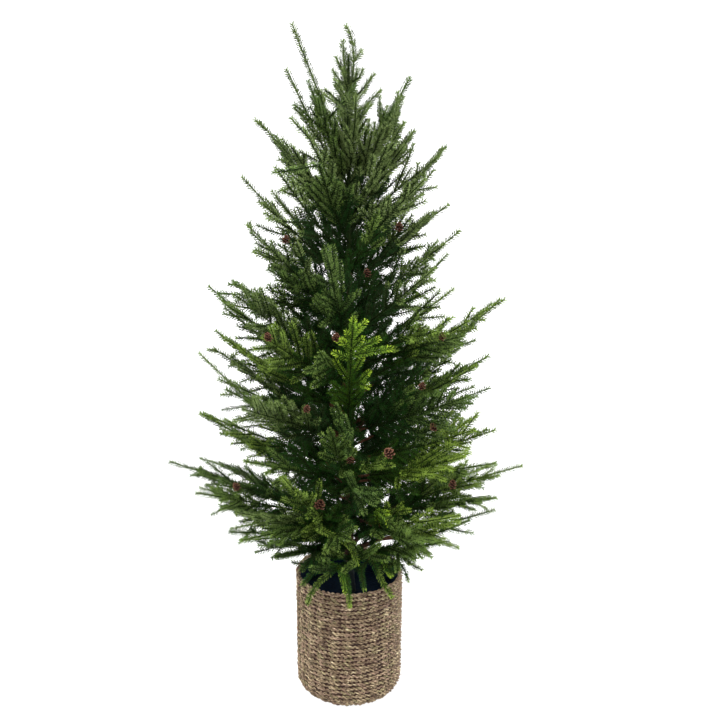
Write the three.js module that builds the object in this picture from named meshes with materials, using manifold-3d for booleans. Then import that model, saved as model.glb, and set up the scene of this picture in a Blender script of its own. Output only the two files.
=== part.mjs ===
// Artificial Norfolk Island pine, 1.5 m tall, standing in a round seagrass basket.
// Millimetres, +Z up. The origin is the centre of the basket's flat underside, the front is -Y.
// The crown is a stack of tiers: each tier has boughs at stated bearings, and each bough carries
// one foliage mass that rises outwards along it and thins to its tip.
import * as THREE from "three";
import { mergeVertices } from "three/addons/utils/BufferGeometryUtils.js";
import Module from "manifold-3d";

const wasm = await Module();
wasm.setup();

// ---- basket, liner and fill
const BASKET_R = 125; // outside radius of the woven wall
const BASKET_H = 299; // height to the top of the rim
const WALL = 10; // thickness of the woven wall and floor
const FOOT_R = 90; // radius of the flat underside
const EDGE_R = BASKET_R - FOOT_R; // rounding between underside and wall
const LINER_T = 2; // dark fabric liner
const LINER_TOP = 288; // the liner ends a little under the rim
const FILL_TOP = 242; // level of the dark fill that the trunk stands in
const GAP = 0.5; // clearance between pieces that touch
const TURNS = 32; // facets round the basket and what it holds
const EDGE_STEPS = 4; // facets across the rounded edge

// ---- trunk
const TRUNK_FOOT = FILL_TOP + GAP;
const TRUNK_TOP = 1440;
const TRUNK_R0 = 11.5; // radius above the flare
const TRUNK_R1 = 2.6; // radius at the tip
const FLARE = 4.5; // extra radius at the foot
const FLARE_H = 26;

// ---- crown: attach height on the trunk, the radius where the needles begin, half thickness,
// and for each bough its bearing (degrees, 0 = +X, 90 = +Y), reach and tip height.
const TIERS = [
  { name: "t1", attach: 345, start: 78, thick: 32, bow: 16, boughs: [
    [268, 232, 333], [307, 302, 446], [349, 346, 463], [46, 352, 470], [132, 352, 468], [197, 328, 483], [232, 285, 440]] },
  { name: "t2", attach: 420, start: 74, thick: 40, bow: 12, boughs: [
    [0, 394, 556], [66, 372, 535], [116, 376, 538], [180, 404, 561], [243, 330, 500], [297, 334, 500]] },
  { name: "t3", attach: 522, start: 16, thick: 50, bow: 4, boughs: [
    [40, 372, 628], [136, 350, 640], [188, 331, 688], [268, 300, 640], [347, 326, 663]] },
  { name: "t4", attach: 618, start: 15, thick: 52, bow: 0, boughs: [
    [88, 300, 790], [184, 322, 822], [238, 300, 776], [302, 298, 772], [354, 304, 831]] },
  { name: "t5", attach: 722, start: 15, thick: 54, bow: -4, boughs: [
    [80, 290, 930], [180, 304, 966], [272, 262, 864], [355, 332, 946]] },
  { name: "t6", attach: 842, start: 14, thick: 50, bow: -6, boughs: [
    [92, 220, 1082], [194, 215, 1108], [274, 214, 1040], [350, 236, 1090]] },
  { name: "t7", attach: 948, start: 13, thick: 46, bow: -6, boughs: [
    [14, 224, 1134], [184, 218, 1200], [280, 188, 1130]] },
  { name: "t8", attach: 1062, start: 12, thick: 40, bow: -6, boughs: [
    [84, 170, 1268], [172, 198, 1311], [264, 164, 1250], [354, 200, 1262]] },
  { name: "t9", attach: 1172, start: 11, thick: 30, bow: -12, boughs: [
    [6, 131, 1405], [96, 118, 1380], [188, 117, 1501], [276, 116, 1368]] },
];
const BOUGH_TIERS = ["t1", "t2"]; // above these the needles start at the trunk itself
const BOUGH_R0 = 5.6; // bough radius at the trunk
const BOUGH_R1 = 4.0; // bough radius where it enters the mass
const STAGGER = 24; // the boughs of a tier leave the trunk within this height
const LEADER = { foot: 1296, top: 1499, r: 27 }; // foliage round the trunk's tip

const RINGS = 9; // stations along a mass
const ROUND = 9; // points round a mass

// ---- colours
const colour = (hex, roughness, metalness = 0) =>
  new THREE.MeshStandardMaterial({ color: hex, roughness, metalness });
const SEAGRASS = colour(0x8a7358, 0.85);
const LINER = colour(0x0c1420, 0.9);
const FILL = colour(0x10151b, 0.95);
const BARK = colour(0x4a3026, 0.8);
const NEEDLES = colour(0x35551c, 0.6);

const root = new THREE.Group();
const rad = (deg) => (deg * Math.PI) / 180;
const mix = (a, b, t) => a + (b - a) * t;
const clamp = (x, lo, hi) => Math.min(hi, Math.max(lo, x));
// Repeatable unevenness between -1 and 1.
const uneven = (...k) => {
  const s = Math.sin(k.reduce((sum, v, i) => sum + v * (12.9898 + 65.233 * i), 4.1)) * 43758.5453;
  return 2 * (s - Math.floor(s)) - 1;
};

// Only positions, with shared vertices merged, so that a body is closed.
function bare(geometry) {
  const g = geometry.clone();
  g.deleteAttribute("normal");
  g.deleteAttribute("uv");
  return mergeVertices(g, 1e-3);
}

function place(name, geometry, material) {
  const g = bare(geometry);
  g.computeVertexNormals();
  const mesh = new THREE.Mesh(g, material);
  mesh.name = name;
  root.add(mesh);
  return mesh;
}

function solidOf(geometry) {
  const g = bare(geometry);
  return new wasm.Manifold(new wasm.Mesh({
    numProp: 3,
    vertProperties: new Float32Array(g.attributes.position.array),
    triVerts: new Uint32Array(g.index.array),
  }));
}

function geometryOf(solid) {
  const m = solid.getMesh();
  const v = new Float32Array(m.numVert * 3);
  for (let i = 0; i < m.numVert; i++)
    v.set(m.vertProperties.subarray(i * m.numProp, i * m.numProp + 3), i * 3);
  return new THREE.BufferGeometry()
    .setAttribute("position", new THREE.BufferAttribute(v, 3))
    .setIndex(new THREE.BufferAttribute(new Uint32Array(m.triVerts), 1));
}

// Merges a geometry's vertices, then moves each by a function of its own position.
function moved(geometry, to) {
  geometry = bare(geometry);
  const p = geometry.attributes.position;
  const v = new THREE.Vector3();
  for (let i = 0; i < p.count; i++) {
    v.fromBufferAttribute(p, i);
    const w = to(v);
    p.setXYZ(i, w.x, w.y, w.z);
  }
  return geometry;
}

// A body of revolution about Z from a closed profile of [radius, height], listed anticlockwise.
function turned(profile, segments) {
  const g = new THREE.LatheGeometry(profile.map(([r, z]) => new THREE.Vector2(r, z)), segments);
  g.rotateX(Math.PI / 2);
  return g;
}

// Points of a quarter circle about (cr, cz), from one angle to another.
const arc = (cr, cz, r, from, to, n) =>
  Array.from({ length: n + 1 }, (_, i) => {
    const a = rad(mix(from, to, i / n));
    return [cr + r * Math.cos(a), cz + r * Math.sin(a)];
  });

// ---- basket: flat underside, rounded edge, upright wall, rounded rim, open inside
const inner = BASKET_R - WALL;
place("basket", turned([
  [0, 0],
  ...arc(FOOT_R, EDGE_R, EDGE_R, -90, 0, EDGE_STEPS),
  [BASKET_R, BASKET_H - 5],
  ...arc(BASKET_R - 5, BASKET_H - 5, 5, 35, 145, 2),
  [inner, BASKET_H - 5],
  ...arc(FOOT_R, EDGE_R, EDGE_R - WALL, 0, -90, EDGE_STEPS),
  [0, WALL],
], TURNS), SEAGRASS);

// ---- liner: a thin cup that follows the inside of the basket
const linerOut = inner - GAP;
const linerIn = linerOut - LINER_T;
place("liner", turned([
  [0, WALL + GAP],
  ...arc(FOOT_R, EDGE_R, EDGE_R - WALL - GAP, -90, 0, EDGE_STEPS),
  [linerOut, LINER_TOP],
  [linerIn, LINER_TOP],
  ...arc(FOOT_R, EDGE_R, EDGE_R - WALL - GAP - LINER_T, 0, -90, EDGE_STEPS),
  [0, WALL + GAP + LINER_T],
], TURNS), LINER);

// ---- fill: fills the lined basket up to the foot of the trunk
const fillOut = linerIn - GAP;
place("fill", turned([
  [0, WALL + 2 * GAP + LINER_T],
  ...arc(FOOT_R, EDGE_R, EDGE_R - WALL - 2 * GAP - LINER_T, -90, 0, EDGE_STEPS),
  [fillOut, FILL_TOP - 6],
  [fillOut - 8, FILL_TOP],
  [0, FILL_TOP],
], TURNS), FILL);

// ---- trunk: one upright tapering stem with a slight flare at its flat foot
const trunkR = (z) => {
  const t = clamp((z - TRUNK_FOOT) / (TRUNK_TOP - TRUNK_FOOT), 0, 1);
  const flare = FLARE * Math.exp(-(z - TRUNK_FOOT) / FLARE_H);
  return mix(TRUNK_R0, TRUNK_R1, Math.pow(t, 0.9)) + flare;
};
const sway = (z) => {
  const t = (z - TRUNK_FOOT) / (TRUNK_TOP - TRUNK_FOOT);
  return new THREE.Vector2(2.0 * Math.sin(5.2 * t) * t, 1.6 * Math.sin(7.1 * t) * t);
};
function trunkGeometry(extra) {
  const h = TRUNK_TOP - TRUNK_FOOT;
  const g = new THREE.CylinderGeometry(1, 1, h, 12, 16);
  g.rotateX(Math.PI / 2);
  g.translate(0, 0, TRUNK_FOOT + h / 2);
  return moved(g, (v) => {
    const s = sway(v.z), r = trunkR(v.z) + extra;
    return new THREE.Vector3(s.x + v.x * r, s.y + v.y * r, v.z);
  });
}
place("trunk", trunkGeometry(0), BARK);

// ---- crown
const masses = TIERS.flatMap((tier, k) =>
  tier.boughs.map(([bearing, reach, tip], i) => ({
    name: tier.name + "_" + (i + 1), tier, k, i, bearing, reach, tip,
    attach: tier.attach + STAGGER * (((2 * i) % tier.boughs.length) / (tier.boughs.length - 1) - 0.5),
  })));

// Height of a mass's middle surface at a distance from the axis.
function middle(m, r) {
  const t = clamp((r - TRUNK_R0) / (m.reach - TRUNK_R0), 0, 1.02);
  return mix(m.attach, m.tip, t) + m.tier.bow * 4 * t * (1 - t);
}
// Half of the bearing range that a mass may take on either side, from its neighbours in the tier.
for (const m of masses) {
  const gaps = masses.filter((n) => n.k === m.k && n !== m)
    .map((n) => ((n.bearing - m.bearing) % 360 + 360) % 360);
  m.left = Math.min(62, 0.46 * Math.min(...gaps));
  m.right = Math.min(62, 0.46 * (360 - Math.max(...gaps)));
}
const apart = (a, b) => Math.abs((((a - b) % 360) + 540) % 360 - 180);

function massGeometry(m) {
  const { tier, reach } = m;
  const rise = Math.atan2(m.tip - m.attach, reach);
  // latitude runs along the bough, longitude round it
  const g = new THREE.SphereGeometry(1, ROUND, RINGS);
  return moved(g, (v) => {
    const lat = Math.acos(clamp(v.y, -1, 1)) / Math.PI; // 0 at the trunk end, 1 at the tip
    const pole = lat < 1e-6 || lat > 1 - 1e-6;
    const along = Math.pow(lat, 0.92);
    const r = mix(tier.start, reach, along);
    const round = pole ? 0 : Math.atan2(v.z, v.x);
    const step = Math.round(lat * RINGS), spoke = Math.round(round / rad(360 / ROUND));
    // plan outline: broad in the inner half, drawn out to a tip, with lobes where side sprays end
    const full = Math.pow(Math.sin(Math.PI * Math.pow(clamp(along, 0, 1), 0.72)), 0.8);
    const lobe = 1 + 0.2 * Math.cos(Math.PI * (step + (Math.cos(round) > 0 ? 0 : 1) + m.i)) * Math.abs(Math.cos(round));
    const rough = 1 - 0.14 * (0.5 + 0.5 * uneven(m.k, m.i, step, spoke));
    const widest = 0.40 * (reach - tier.start) + 20;
    const side = Math.cos(round) > 0 ? m.left : m.right;
    const half = pole ? 0 : Math.min(widest * full * lobe, 0.97 * r * rad(side)) * rough;
    const bearing = m.bearing + (half * Math.cos(round) / r) * (180 / Math.PI);
    // thickness, kept clear of the tiers above and below
    let high = (tier.thick * Math.pow(full, 0.6)) / Math.cos(rise);
    const up = Math.sin(round) > 0;
    const zc = middle(m, r);
    for (const n of masses) {
      if (n.k === m.k || r < n.tier.start - 12 || r > n.reach + 12) continue;
      if (apart(n.bearing, m.bearing) > Math.max(n.left, n.right) + Math.max(m.left, m.right)) continue;
      const dz = middle(n, r) - zc;
      if (up ? dz > 0 : dz < 0) high = Math.min(high, 0.455 * Math.abs(dz));
    }
    const z = pole ? zc : zc + high * Math.sin(round) * rough;
    return new THREE.Vector3(r * Math.cos(rad(bearing)), r * Math.sin(rad(bearing)), z);
  });
}

const roomForTrunk = solidOf(trunkGeometry(0.8));
for (const m of masses) {
  let g = massGeometry(m);
  let solid = solidOf(g);
  if (solid.volume() < 0) {
    const index = g.index.array;
    for (let i = 0; i < index.length; i += 3) [index[i + 1], index[i + 2]] = [index[i + 2], index[i + 1]];
    solid = solidOf(g);
  }
  if (m.tier.start < 20) {
    solid = solid.subtract(roomForTrunk).decompose().sort((a, b) => b.volume() - a.volume())[0];
    g = geometryOf(solid);
  }
  place("foliage_" + m.name, g, NEEDLES);
}

// Boughs: one tapering limb each, from the trunk's surface to where the needles begin.
for (const m of masses.filter((n) => BOUGH_TIERS.includes(n.tier.name))) {
  const zAt = (r) => middle(m, r);
  const from = trunkR(zAt(TRUNK_R0)) + 3.0, to = m.tier.start - GAP - 1.0;
  const a = rad(m.bearing);
  const centre = sway(m.attach);
  const g = new THREE.CylinderGeometry(1, 1, 1, 8, 3); // y runs -0.5 at the trunk to 0.5 at the mass
  place("bough_" + m.name, moved(g, (v) => {
    const t = v.y + 0.5;
    const r = mix(from, to, t);
    const rise = Math.atan2(zAt(r + 1) - zAt(r - 1), 2);
    const q = mix(BOUGH_R0, BOUGH_R1, t);
    const out = v.z * q, side = v.x * q; // out: across the limb in its upright plane
    const radial = r - out * Math.sin(rise);
    const s = 1 - t;
    return new THREE.Vector3(
      centre.x * s + radial * Math.cos(a) + side * Math.sin(a),
      centre.y * s + radial * Math.sin(a) - side * Math.cos(a),
      zAt(r) + out * Math.cos(rise));
  }), BARK);
}

// Leader: the upright tuft of needles at the top, closed round the trunk's tip.
{
  const g = new THREE.SphereGeometry(1, 10, 9);
  const tuft = moved(g, (v) => {
    const lat = Math.acos(clamp(-v.y, -1, 1)) / Math.PI; // 0 at the foot, 1 at the top
    const pole = lat < 1e-6 || lat > 1 - 1e-6;
    const a = Math.atan2(v.z, v.x);
    const step = Math.round(lat * 9), spoke = Math.round(a / rad(36));
    const z = mix(LEADER.foot, LEADER.top, Math.pow(lat, 0.95));
    const full = Math.pow(Math.sin(Math.PI * Math.pow(lat, 0.7)), 0.75);
    const lobe = 1 + 0.16 * Math.cos(Math.PI * (step + spoke)) + 0.1 * uneven(step, spoke, 3);
    const r = pole ? 0 : LEADER.r * full * lobe * 0.85;
    const s = sway(z);
    return new THREE.Vector3(s.x + r * Math.cos(a), s.y + r * Math.sin(a), z);
  });
  let solid = solidOf(tuft);
  if (solid.volume() < 0) {
    const index = tuft.index.array;
    for (let i = 0; i < index.length; i += 3) [index[i + 1], index[i + 2]] = [index[i + 2], index[i + 1]];
    solid = solidOf(tuft);
  }
  solid = solid.subtract(roomForTrunk).decompose().sort((a, b) => b.volume() - a.volume())[0];
  place("foliage_top", geometryOf(solid), NEEDLES);
}

export default root;
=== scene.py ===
# Looks of the artificial Norfolk Island pine in its seagrass basket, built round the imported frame.
# Lengths in the growth rules are millimetres; meshes are written in metres.
import math
import bpy
import numpy as np
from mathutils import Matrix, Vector


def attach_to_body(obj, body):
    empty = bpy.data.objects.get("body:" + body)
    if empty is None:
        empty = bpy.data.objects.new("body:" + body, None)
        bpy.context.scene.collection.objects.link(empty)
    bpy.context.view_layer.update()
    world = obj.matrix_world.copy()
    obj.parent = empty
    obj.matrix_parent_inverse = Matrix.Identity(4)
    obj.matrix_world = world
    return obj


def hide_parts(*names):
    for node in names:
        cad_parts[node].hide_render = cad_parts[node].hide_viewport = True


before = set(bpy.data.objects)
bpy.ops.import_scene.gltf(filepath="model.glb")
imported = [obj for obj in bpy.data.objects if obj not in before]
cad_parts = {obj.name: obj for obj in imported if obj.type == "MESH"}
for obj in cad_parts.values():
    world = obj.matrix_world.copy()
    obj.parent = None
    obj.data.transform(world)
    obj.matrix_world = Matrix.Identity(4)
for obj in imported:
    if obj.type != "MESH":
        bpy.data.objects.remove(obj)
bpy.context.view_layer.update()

UP = np.array([0., 0., 1.])

# spacing of the needle rings along a twig, in millimetres, and the light
PITCH = 5.6
AROUND = 7
WIDE = 1.15
BLUNT = .78
FILL_STEP = 9.0
FLOOR = (128, 128, 128)
GLOW = .88
SKY = [(0, .8), (.485, .8), (.497, 1.5), (.56, 1.5), (.66, 1.4), (1, 1.4)]
BOXES = []
SUNS = [("sun_front", (-.15, -.6, 1.2), 1.1, 60), ("sun_left", (-1.0, -.1, .8), 4.1, 110), ("sun_right", (1.0, -.1, .8), 4.1, 110)]


# ------------------------------------------------------------------ materials
def srgb(*c):
    """Linear colour from 0-255 screen values."""
    c = np.array(c, float) / 255
    return [float(v) for v in np.where(c <= .04045, c / 12.92, ((c + .055) / 1.055) ** 2.4)] + [1.0]


def plain(name, colour, roughness, specular=.4, sheen=0.0):
    m = bpy.data.materials.new(name)
    m.use_nodes = True
    b = m.node_tree.nodes["Principled BSDF"]
    b.inputs["Base Color"].default_value = colour
    b.inputs["Roughness"].default_value = roughness
    b.inputs["Specular IOR Level"].default_value = specular
    b.inputs["Sheen Weight"].default_value = sheen
    return m


def patterned(name, stops, scale, roughness, bump, coords="Object", detail=5.0, rough_range=None, distance=.001,
              second=None, specular=.35, sheen=0.0, noise_rough=.6):
    """Colour, roughness and relief from one stretched noise; second: (scale, share) of a broader tint."""
    m = bpy.data.materials.new(name)
    m.use_nodes = True
    t = m.node_tree
    b = t.nodes["Principled BSDF"]
    b.inputs["Roughness"].default_value = roughness
    b.inputs["Specular IOR Level"].default_value = specular
    b.inputs["Sheen Weight"].default_value = sheen
    place = t.nodes.new("ShaderNodeTexCoord")
    stretch = t.nodes.new("ShaderNodeMapping")
    stretch.inputs["Scale"].default_value = scale
    t.links.new(place.outputs[coords], stretch.inputs["Vector"])
    noise = t.nodes.new("ShaderNodeTexNoise")
    noise.inputs["Scale"].default_value = 1.0
    noise.inputs["Detail"].default_value = detail
    noise.inputs["Roughness"].default_value = noise_rough
    t.links.new(stretch.outputs["Vector"], noise.inputs["Vector"])
    ramp = t.nodes.new("ShaderNodeValToRGB")
    e = ramp.color_ramp.elements
    while len(e) < len(stops):
        e.new(.5)
    for k, (at_, colour) in enumerate(stops):
        e[k].position = at_
        e[k].color = colour
    t.links.new(noise.outputs["Fac"], ramp.inputs["Fac"])
    colour_out = ramp.outputs["Color"]
    if second:
        broad_map = t.nodes.new("ShaderNodeMapping")
        broad_map.inputs["Scale"].default_value = second[0]
        t.links.new(place.outputs["Object"], broad_map.inputs["Vector"])
        broad = t.nodes.new("ShaderNodeTexNoise")
        broad.inputs["Scale"].default_value = 1.0
        broad.inputs["Detail"].default_value = 2.0
        t.links.new(broad_map.outputs["Vector"], broad.inputs["Vector"])
        tint = t.nodes.new("ShaderNodeValToRGB")
        for k, (at_, colour) in enumerate(second[1]):
            tint.color_ramp.elements[k].position = at_
            tint.color_ramp.elements[k].color = colour
        t.links.new(broad.outputs["Fac"], tint.inputs["Fac"])
        mix = t.nodes.new("ShaderNodeMix")
        mix.data_type = "RGBA"
        mix.blend_type = "MULTIPLY"
        mix.inputs["Factor"].default_value = 1.0
        t.links.new(colour_out, mix.inputs["A"])
        t.links.new(tint.outputs["Color"], mix.inputs["B"])
        colour_out = mix.outputs["Result"]
    t.links.new(colour_out, b.inputs["Base Color"])
    if rough_range:
        spread = t.nodes.new("ShaderNodeMapRange")
        spread.inputs["To Min"].default_value, spread.inputs["To Max"].default_value = rough_range
        t.links.new(noise.outputs["Fac"], spread.inputs["Value"])
        t.links.new(spread.outputs["Result"], b.inputs["Roughness"])
    relief = t.nodes.new("ShaderNodeBump")
    relief.inputs["Strength"].default_value = bump
    relief.inputs["Distance"].default_value = distance
    t.links.new(noise.outputs["Fac"], relief.inputs["Height"])
    t.links.new(relief.outputs["Normal"], b.inputs["Normal"])
    return m


# needle greens, dealt out by spray: deep, dark, mid, mid-yellow, light, lime, grey-green; then a lighter one for twig
# ends, painted shade darker at the needle roots and deep in the heart of the crown, painted light paler on its outside,
# and painted shade dark at the tips of its outermost needles
GREENS = [(48, 70, 26), (62, 86, 34), (78, 102, 42), (90, 113, 42), (102, 126, 44), (106, 141, 40), (84, 104, 50)]
TIPS = [(70, 94, 42), (88, 112, 50), (104, 128, 56), (114, 139, 54), (128, 155, 56), (158, 190, 54), (104, 125, 64)]
SHADED_ROOT_GREENS = [(20, 34, 11), (26, 41, 13), (34, 50, 15), (40, 56, 17), (46, 64, 19), (58, 80, 20), (40, 53, 24)]
SHADED_HEART_GREENS = [(18, 50, 12), (22, 56, 14), (28, 64, 17), (36, 72, 19), (44, 80, 22), (54, 92, 24), (28, 57, 21)]
LIT_OUTSIDE_GREENS = [(76, 96, 44), (92, 116, 54), (107, 132, 60), (121, 146, 62), (133, 158, 64), (141, 174, 53), (119, 139, 80)]
SHADED_TIP_GREENS = [(32, 46, 18), (40, 56, 22), (48, 66, 26), (54, 72, 28), (60, 80, 30), (74, 98, 31), (48, 61, 32)]
needle_mats = [plain("needle_%s_%d" % (name, k), srgb(*c), rough, shine)
               for name, greens, rough, shine in (("base", GREENS, .55, .2), ("tip", TIPS, .55, .2), ("root", SHADED_ROOT_GREENS, .7, .08),
                                                  ("heart_shaded", SHADED_HEART_GREENS, .6, .12), ("lit_outside", LIT_OUTSIDE_GREENS, .55, .2), ("shaded_tip", SHADED_TIP_GREENS, .6, .15))
               for k, c in enumerate(greens)]


# ------------------------------------------------------------------ meshes
def mesh_object(name, verts, faces, mats, index=None, smooth=True, uv=None):
    """verts in millimetres; faces: list of integer arrays, each of one face size; index: material of each face."""
    me = bpy.data.meshes.new(name)
    verts = np.ascontiguousarray(verts, np.float32) / 1000
    faces = [np.ascontiguousarray(f, np.int32) for f in faces if len(f)]
    sizes = np.concatenate([np.full(len(f), f.shape[1], np.int32) for f in faces])
    loops = np.concatenate([f.ravel() for f in faces])
    me.vertices.add(len(verts))
    me.vertices.foreach_set("co", verts.ravel())
    me.loops.add(len(loops))
    me.loops.foreach_set("vertex_index", loops)
    me.polygons.add(len(sizes))
    me.polygons.foreach_set("loop_start", np.concatenate([[0], np.cumsum(sizes)[:-1]]).astype(np.int32))
    for m in mats:
        me.materials.append(m)
    if index is not None:
        me.polygons.foreach_set("material_index", np.ascontiguousarray(index, np.int32))
    me.polygons.foreach_set("use_smooth", np.full(len(sizes), smooth))
    if uv is not None:
        layer = me.uv_layers.new(name="UVMap")
        layer.data.foreach_set("uv", np.ascontiguousarray(uv, np.float32).ravel())
    me.update(calc_edges=True)
    me.validate()
    o = bpy.data.objects.new(name, me)
    bpy.context.scene.collection.objects.link(o)
    return o


def settle(piece, slot, *nodes):
    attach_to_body(piece, "root")
    if nodes:
        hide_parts(*nodes)
    return piece


class Heap:
    """Collects parts of one piece: vertices, quads, triangles, material of each face, and loose uv."""
    def __init__(self):
        self.v, self.q, self.t, self.qm, self.tm, self.n = [], [], [], [], [], 0
        self.quv, self.tuv = [], []

    def add(self, v, quads=None, tris=None, mat=0, quad_uv=None, tri_uv=None):
        self.v.append(v)
        if quads is not None and len(quads):
            self.q.append(np.asarray(quads) + self.n)
            self.qm.append(np.broadcast_to(mat, len(quads)))
            self.quv.append(np.zeros((len(quads), 4, 2)) if quad_uv is None else quad_uv)
        if tris is not None and len(tris):
            self.t.append(np.asarray(tris) + self.n)
            self.tm.append(np.broadcast_to(mat, len(tris)))
            self.tuv.append(np.zeros((len(tris), 3, 2)) if tri_uv is None else tri_uv)
        self.n += len(v)

    def make(self, name, mats, smooth=True, uv=False):
        faces, index, uvs = [], [], []
        if self.q:
            faces.append(np.concatenate(self.q)); index.append(np.concatenate(self.qm))
            uvs.append(np.concatenate(self.quv).reshape(-1, 2))
        if self.t:
            faces.append(np.concatenate(self.t)); index.append(np.concatenate(self.tm))
            uvs.append(np.concatenate(self.tuv).reshape(-1, 2))
        return mesh_object(name, np.concatenate(self.v), faces, mats, np.concatenate(index), smooth,
                           np.concatenate(uvs) if uv else None)


# ------------------------------------------------------------------ lines
def unit(v):
    return v / np.maximum(np.linalg.norm(v, axis=-1, keepdims=True), 1e-9)


def rotate(v, axis, angle):
    axis = unit(axis)
    c, s = np.cos(angle), np.sin(angle)
    return v * c + np.cross(axis, v) * s + axis * (v @ axis) * (1 - c)


def curve(points, step=6.0):
    """A smooth line through a quadratic control polygon, at about that spacing."""
    p0, p1, p2 = points
    n = max(4, int(np.ceil((np.linalg.norm(p1 - p0) + np.linalg.norm(p2 - p1)) / step)) + 1)
    t = np.linspace(0, 1, n)[:, None]
    return (1 - t) ** 2 * p0 + 2 * t * (1 - t) * p1 + t * t * p2


def smooth(points, step=6.0):
    """A Catmull-Rom line through the points."""
    q = np.vstack([2 * points[0] - points[1], points, 2 * points[-1] - points[-2]])
    out = []
    for i in range(1, len(q) - 2):
        a, b, c, d = q[i - 1:i + 3]
        n = max(2, int(np.linalg.norm(c - b) / step))
        t = (np.arange(n) / n)[:, None]
        out.append(.5 * (2 * b + (c - a) * t + (2 * a - 5 * b + 4 * c - d) * t * t + (3 * b - a - 3 * c + d) * t ** 3))
    return np.vstack(out + [points[-1:]])


def lengths(line):
    return np.concatenate([[0], np.cumsum(np.linalg.norm(np.diff(line, axis=0), axis=1))])


def at(line, s):
    L = lengths(line)
    s = np.clip(s, 0, L[-1])
    p = np.array([np.interp(s, L, line[:, k]) for k in range(3)])
    q = np.array([np.interp(min(s + 3, L[-1]), L, line[:, k]) for k in range(3)])
    o = np.array([np.interp(max(s - 3, 0), L, line[:, k]) for k in range(3)])
    return p, unit(q - o)


def resample(line, step):
    L = lengths(line)
    n = max(2, int(round(L[-1] / step)) + 1)
    s = np.linspace(0, L[-1], n)
    return np.stack([np.interp(s, L, line[:, k]) for k in range(3)], 1), s


def frames(line):
    """Tangent and a carried-along normal at each point of a line."""
    T = np.empty_like(line)
    T[1:-1] = line[2:] - line[:-2]
    T[0], T[-1] = line[1] - line[0], line[-1] - line[-2]
    T = unit(T)
    N = np.empty_like(T)
    n = np.cross(T[0], UP if abs(T[0][2]) < .9 else np.array([1., 0., 0.]))
    for i in range(len(T)):
        n = n - T[i] * (n @ T[i])
        n = n / math.sqrt(n @ n)
        N[i] = n
    return T, N


def tube(heap, line, radii, sides, mat=0, cap=True, uv_per_mm=None):
    """A closed round tube along a line, one radius a point."""
    T, N = frames(line)
    B = np.cross(T, N)
    a = np.arange(sides) * 2 * np.pi / sides
    ring = N[:, None] * np.cos(a)[None, :, None] + B[:, None] * np.sin(a)[None, :, None]
    v = (line[:, None] + ring * np.asarray(radii)[:, None, None]).reshape(-1, 3)
    n = len(line)
    i, j = np.meshgrid(np.arange(n - 1), np.arange(sides), indexing="ij")
    k = (j + 1) % sides
    q = np.stack([i * sides + j, i * sides + k, (i + 1) * sides + k, (i + 1) * sides + j], -1).reshape(-1, 4)
    quv = None
    if uv_per_mm:
        s = lengths(line) * uv_per_mm
        quv = np.stack([np.stack([s[i], j / sides], -1), np.stack([s[i], (j + 1) / sides], -1),
                        np.stack([s[i + 1], (j + 1) / sides], -1), np.stack([s[i + 1], j / sides], -1)], 2).reshape(-1, 4, 2)
    if cap:
        v = np.vstack([v, line[:1], line[-1:]])
        j = np.arange(sides)
        k = (j + 1) % sides
        t = np.vstack([np.stack([np.full(sides, n * sides), k, j], 1),
                       np.stack([np.full(sides, n * sides + 1), (n - 1) * sides + j, (n - 1) * sides + k], 1)])
        heap.add(v, q, t, mat, quv)
    else:
        heap.add(v, q, None, mat, quv)


# ------------------------------------------------------------------ trunk and limbs, as in the frame
TRUNK_FOOT, TRUNK_TOP = 242.5, 1440.0


def trunk_r(z):
    t = np.clip((z - TRUNK_FOOT) / (TRUNK_TOP - TRUNK_FOOT), 0, 1)
    return 11.5 + (2.6 - 11.5) * t ** .9 + 4.5 * np.exp(-(z - TRUNK_FOOT) / 26)


def trunk_centre(z):
    t = np.clip((z - TRUNK_FOOT) / (TRUNK_TOP - TRUNK_FOOT), 0, 1)
    return np.stack([2.0 * np.sin(5.2 * t) * t, 1.6 * np.sin(7.1 * t) * t, z + 0 * t], -1)


# the two lowest tiers have bare limbs: attach height, where the needles begin, bow, and bearing, reach, tip height
LIMBS = {
    "t1": (345, 78, 16, [(268, 232, 333), (307, 302, 446), (349, 346, 463), (46, 352, 470), (132, 352, 468),
                         (197, 328, 483), (232, 285, 440)]),
    "t2": (420, 74, 12, [(0, 394, 556), (66, 372, 535), (116, 376, 538), (180, 404, 561), (243, 330, 500),
                         (297, 334, 500)]),
}


def limb_points(tier, i, radii):
    """Centre line of a limb at distances from the axis."""
    attach, start, bow, rows = LIMBS[tier]
    bearing, reach, tip = rows[i]
    foot = attach + 24 * (((2 * i) % len(rows)) / (len(rows) - 1) - .5)
    t = (radii - 11.5) / (reach - 11.5)
    z = foot + (tip - foot) * t + bow * 4 * t * (1 - t)
    a = np.radians(bearing)
    c = trunk_centre(foot)[:2]
    s = np.clip(1 - (radii - 14.5) / (start - 16.0), 0, 1)
    return np.stack([c[0] * s + radii * np.cos(a), c[1] * s + radii * np.sin(a), z], -1)


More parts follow.
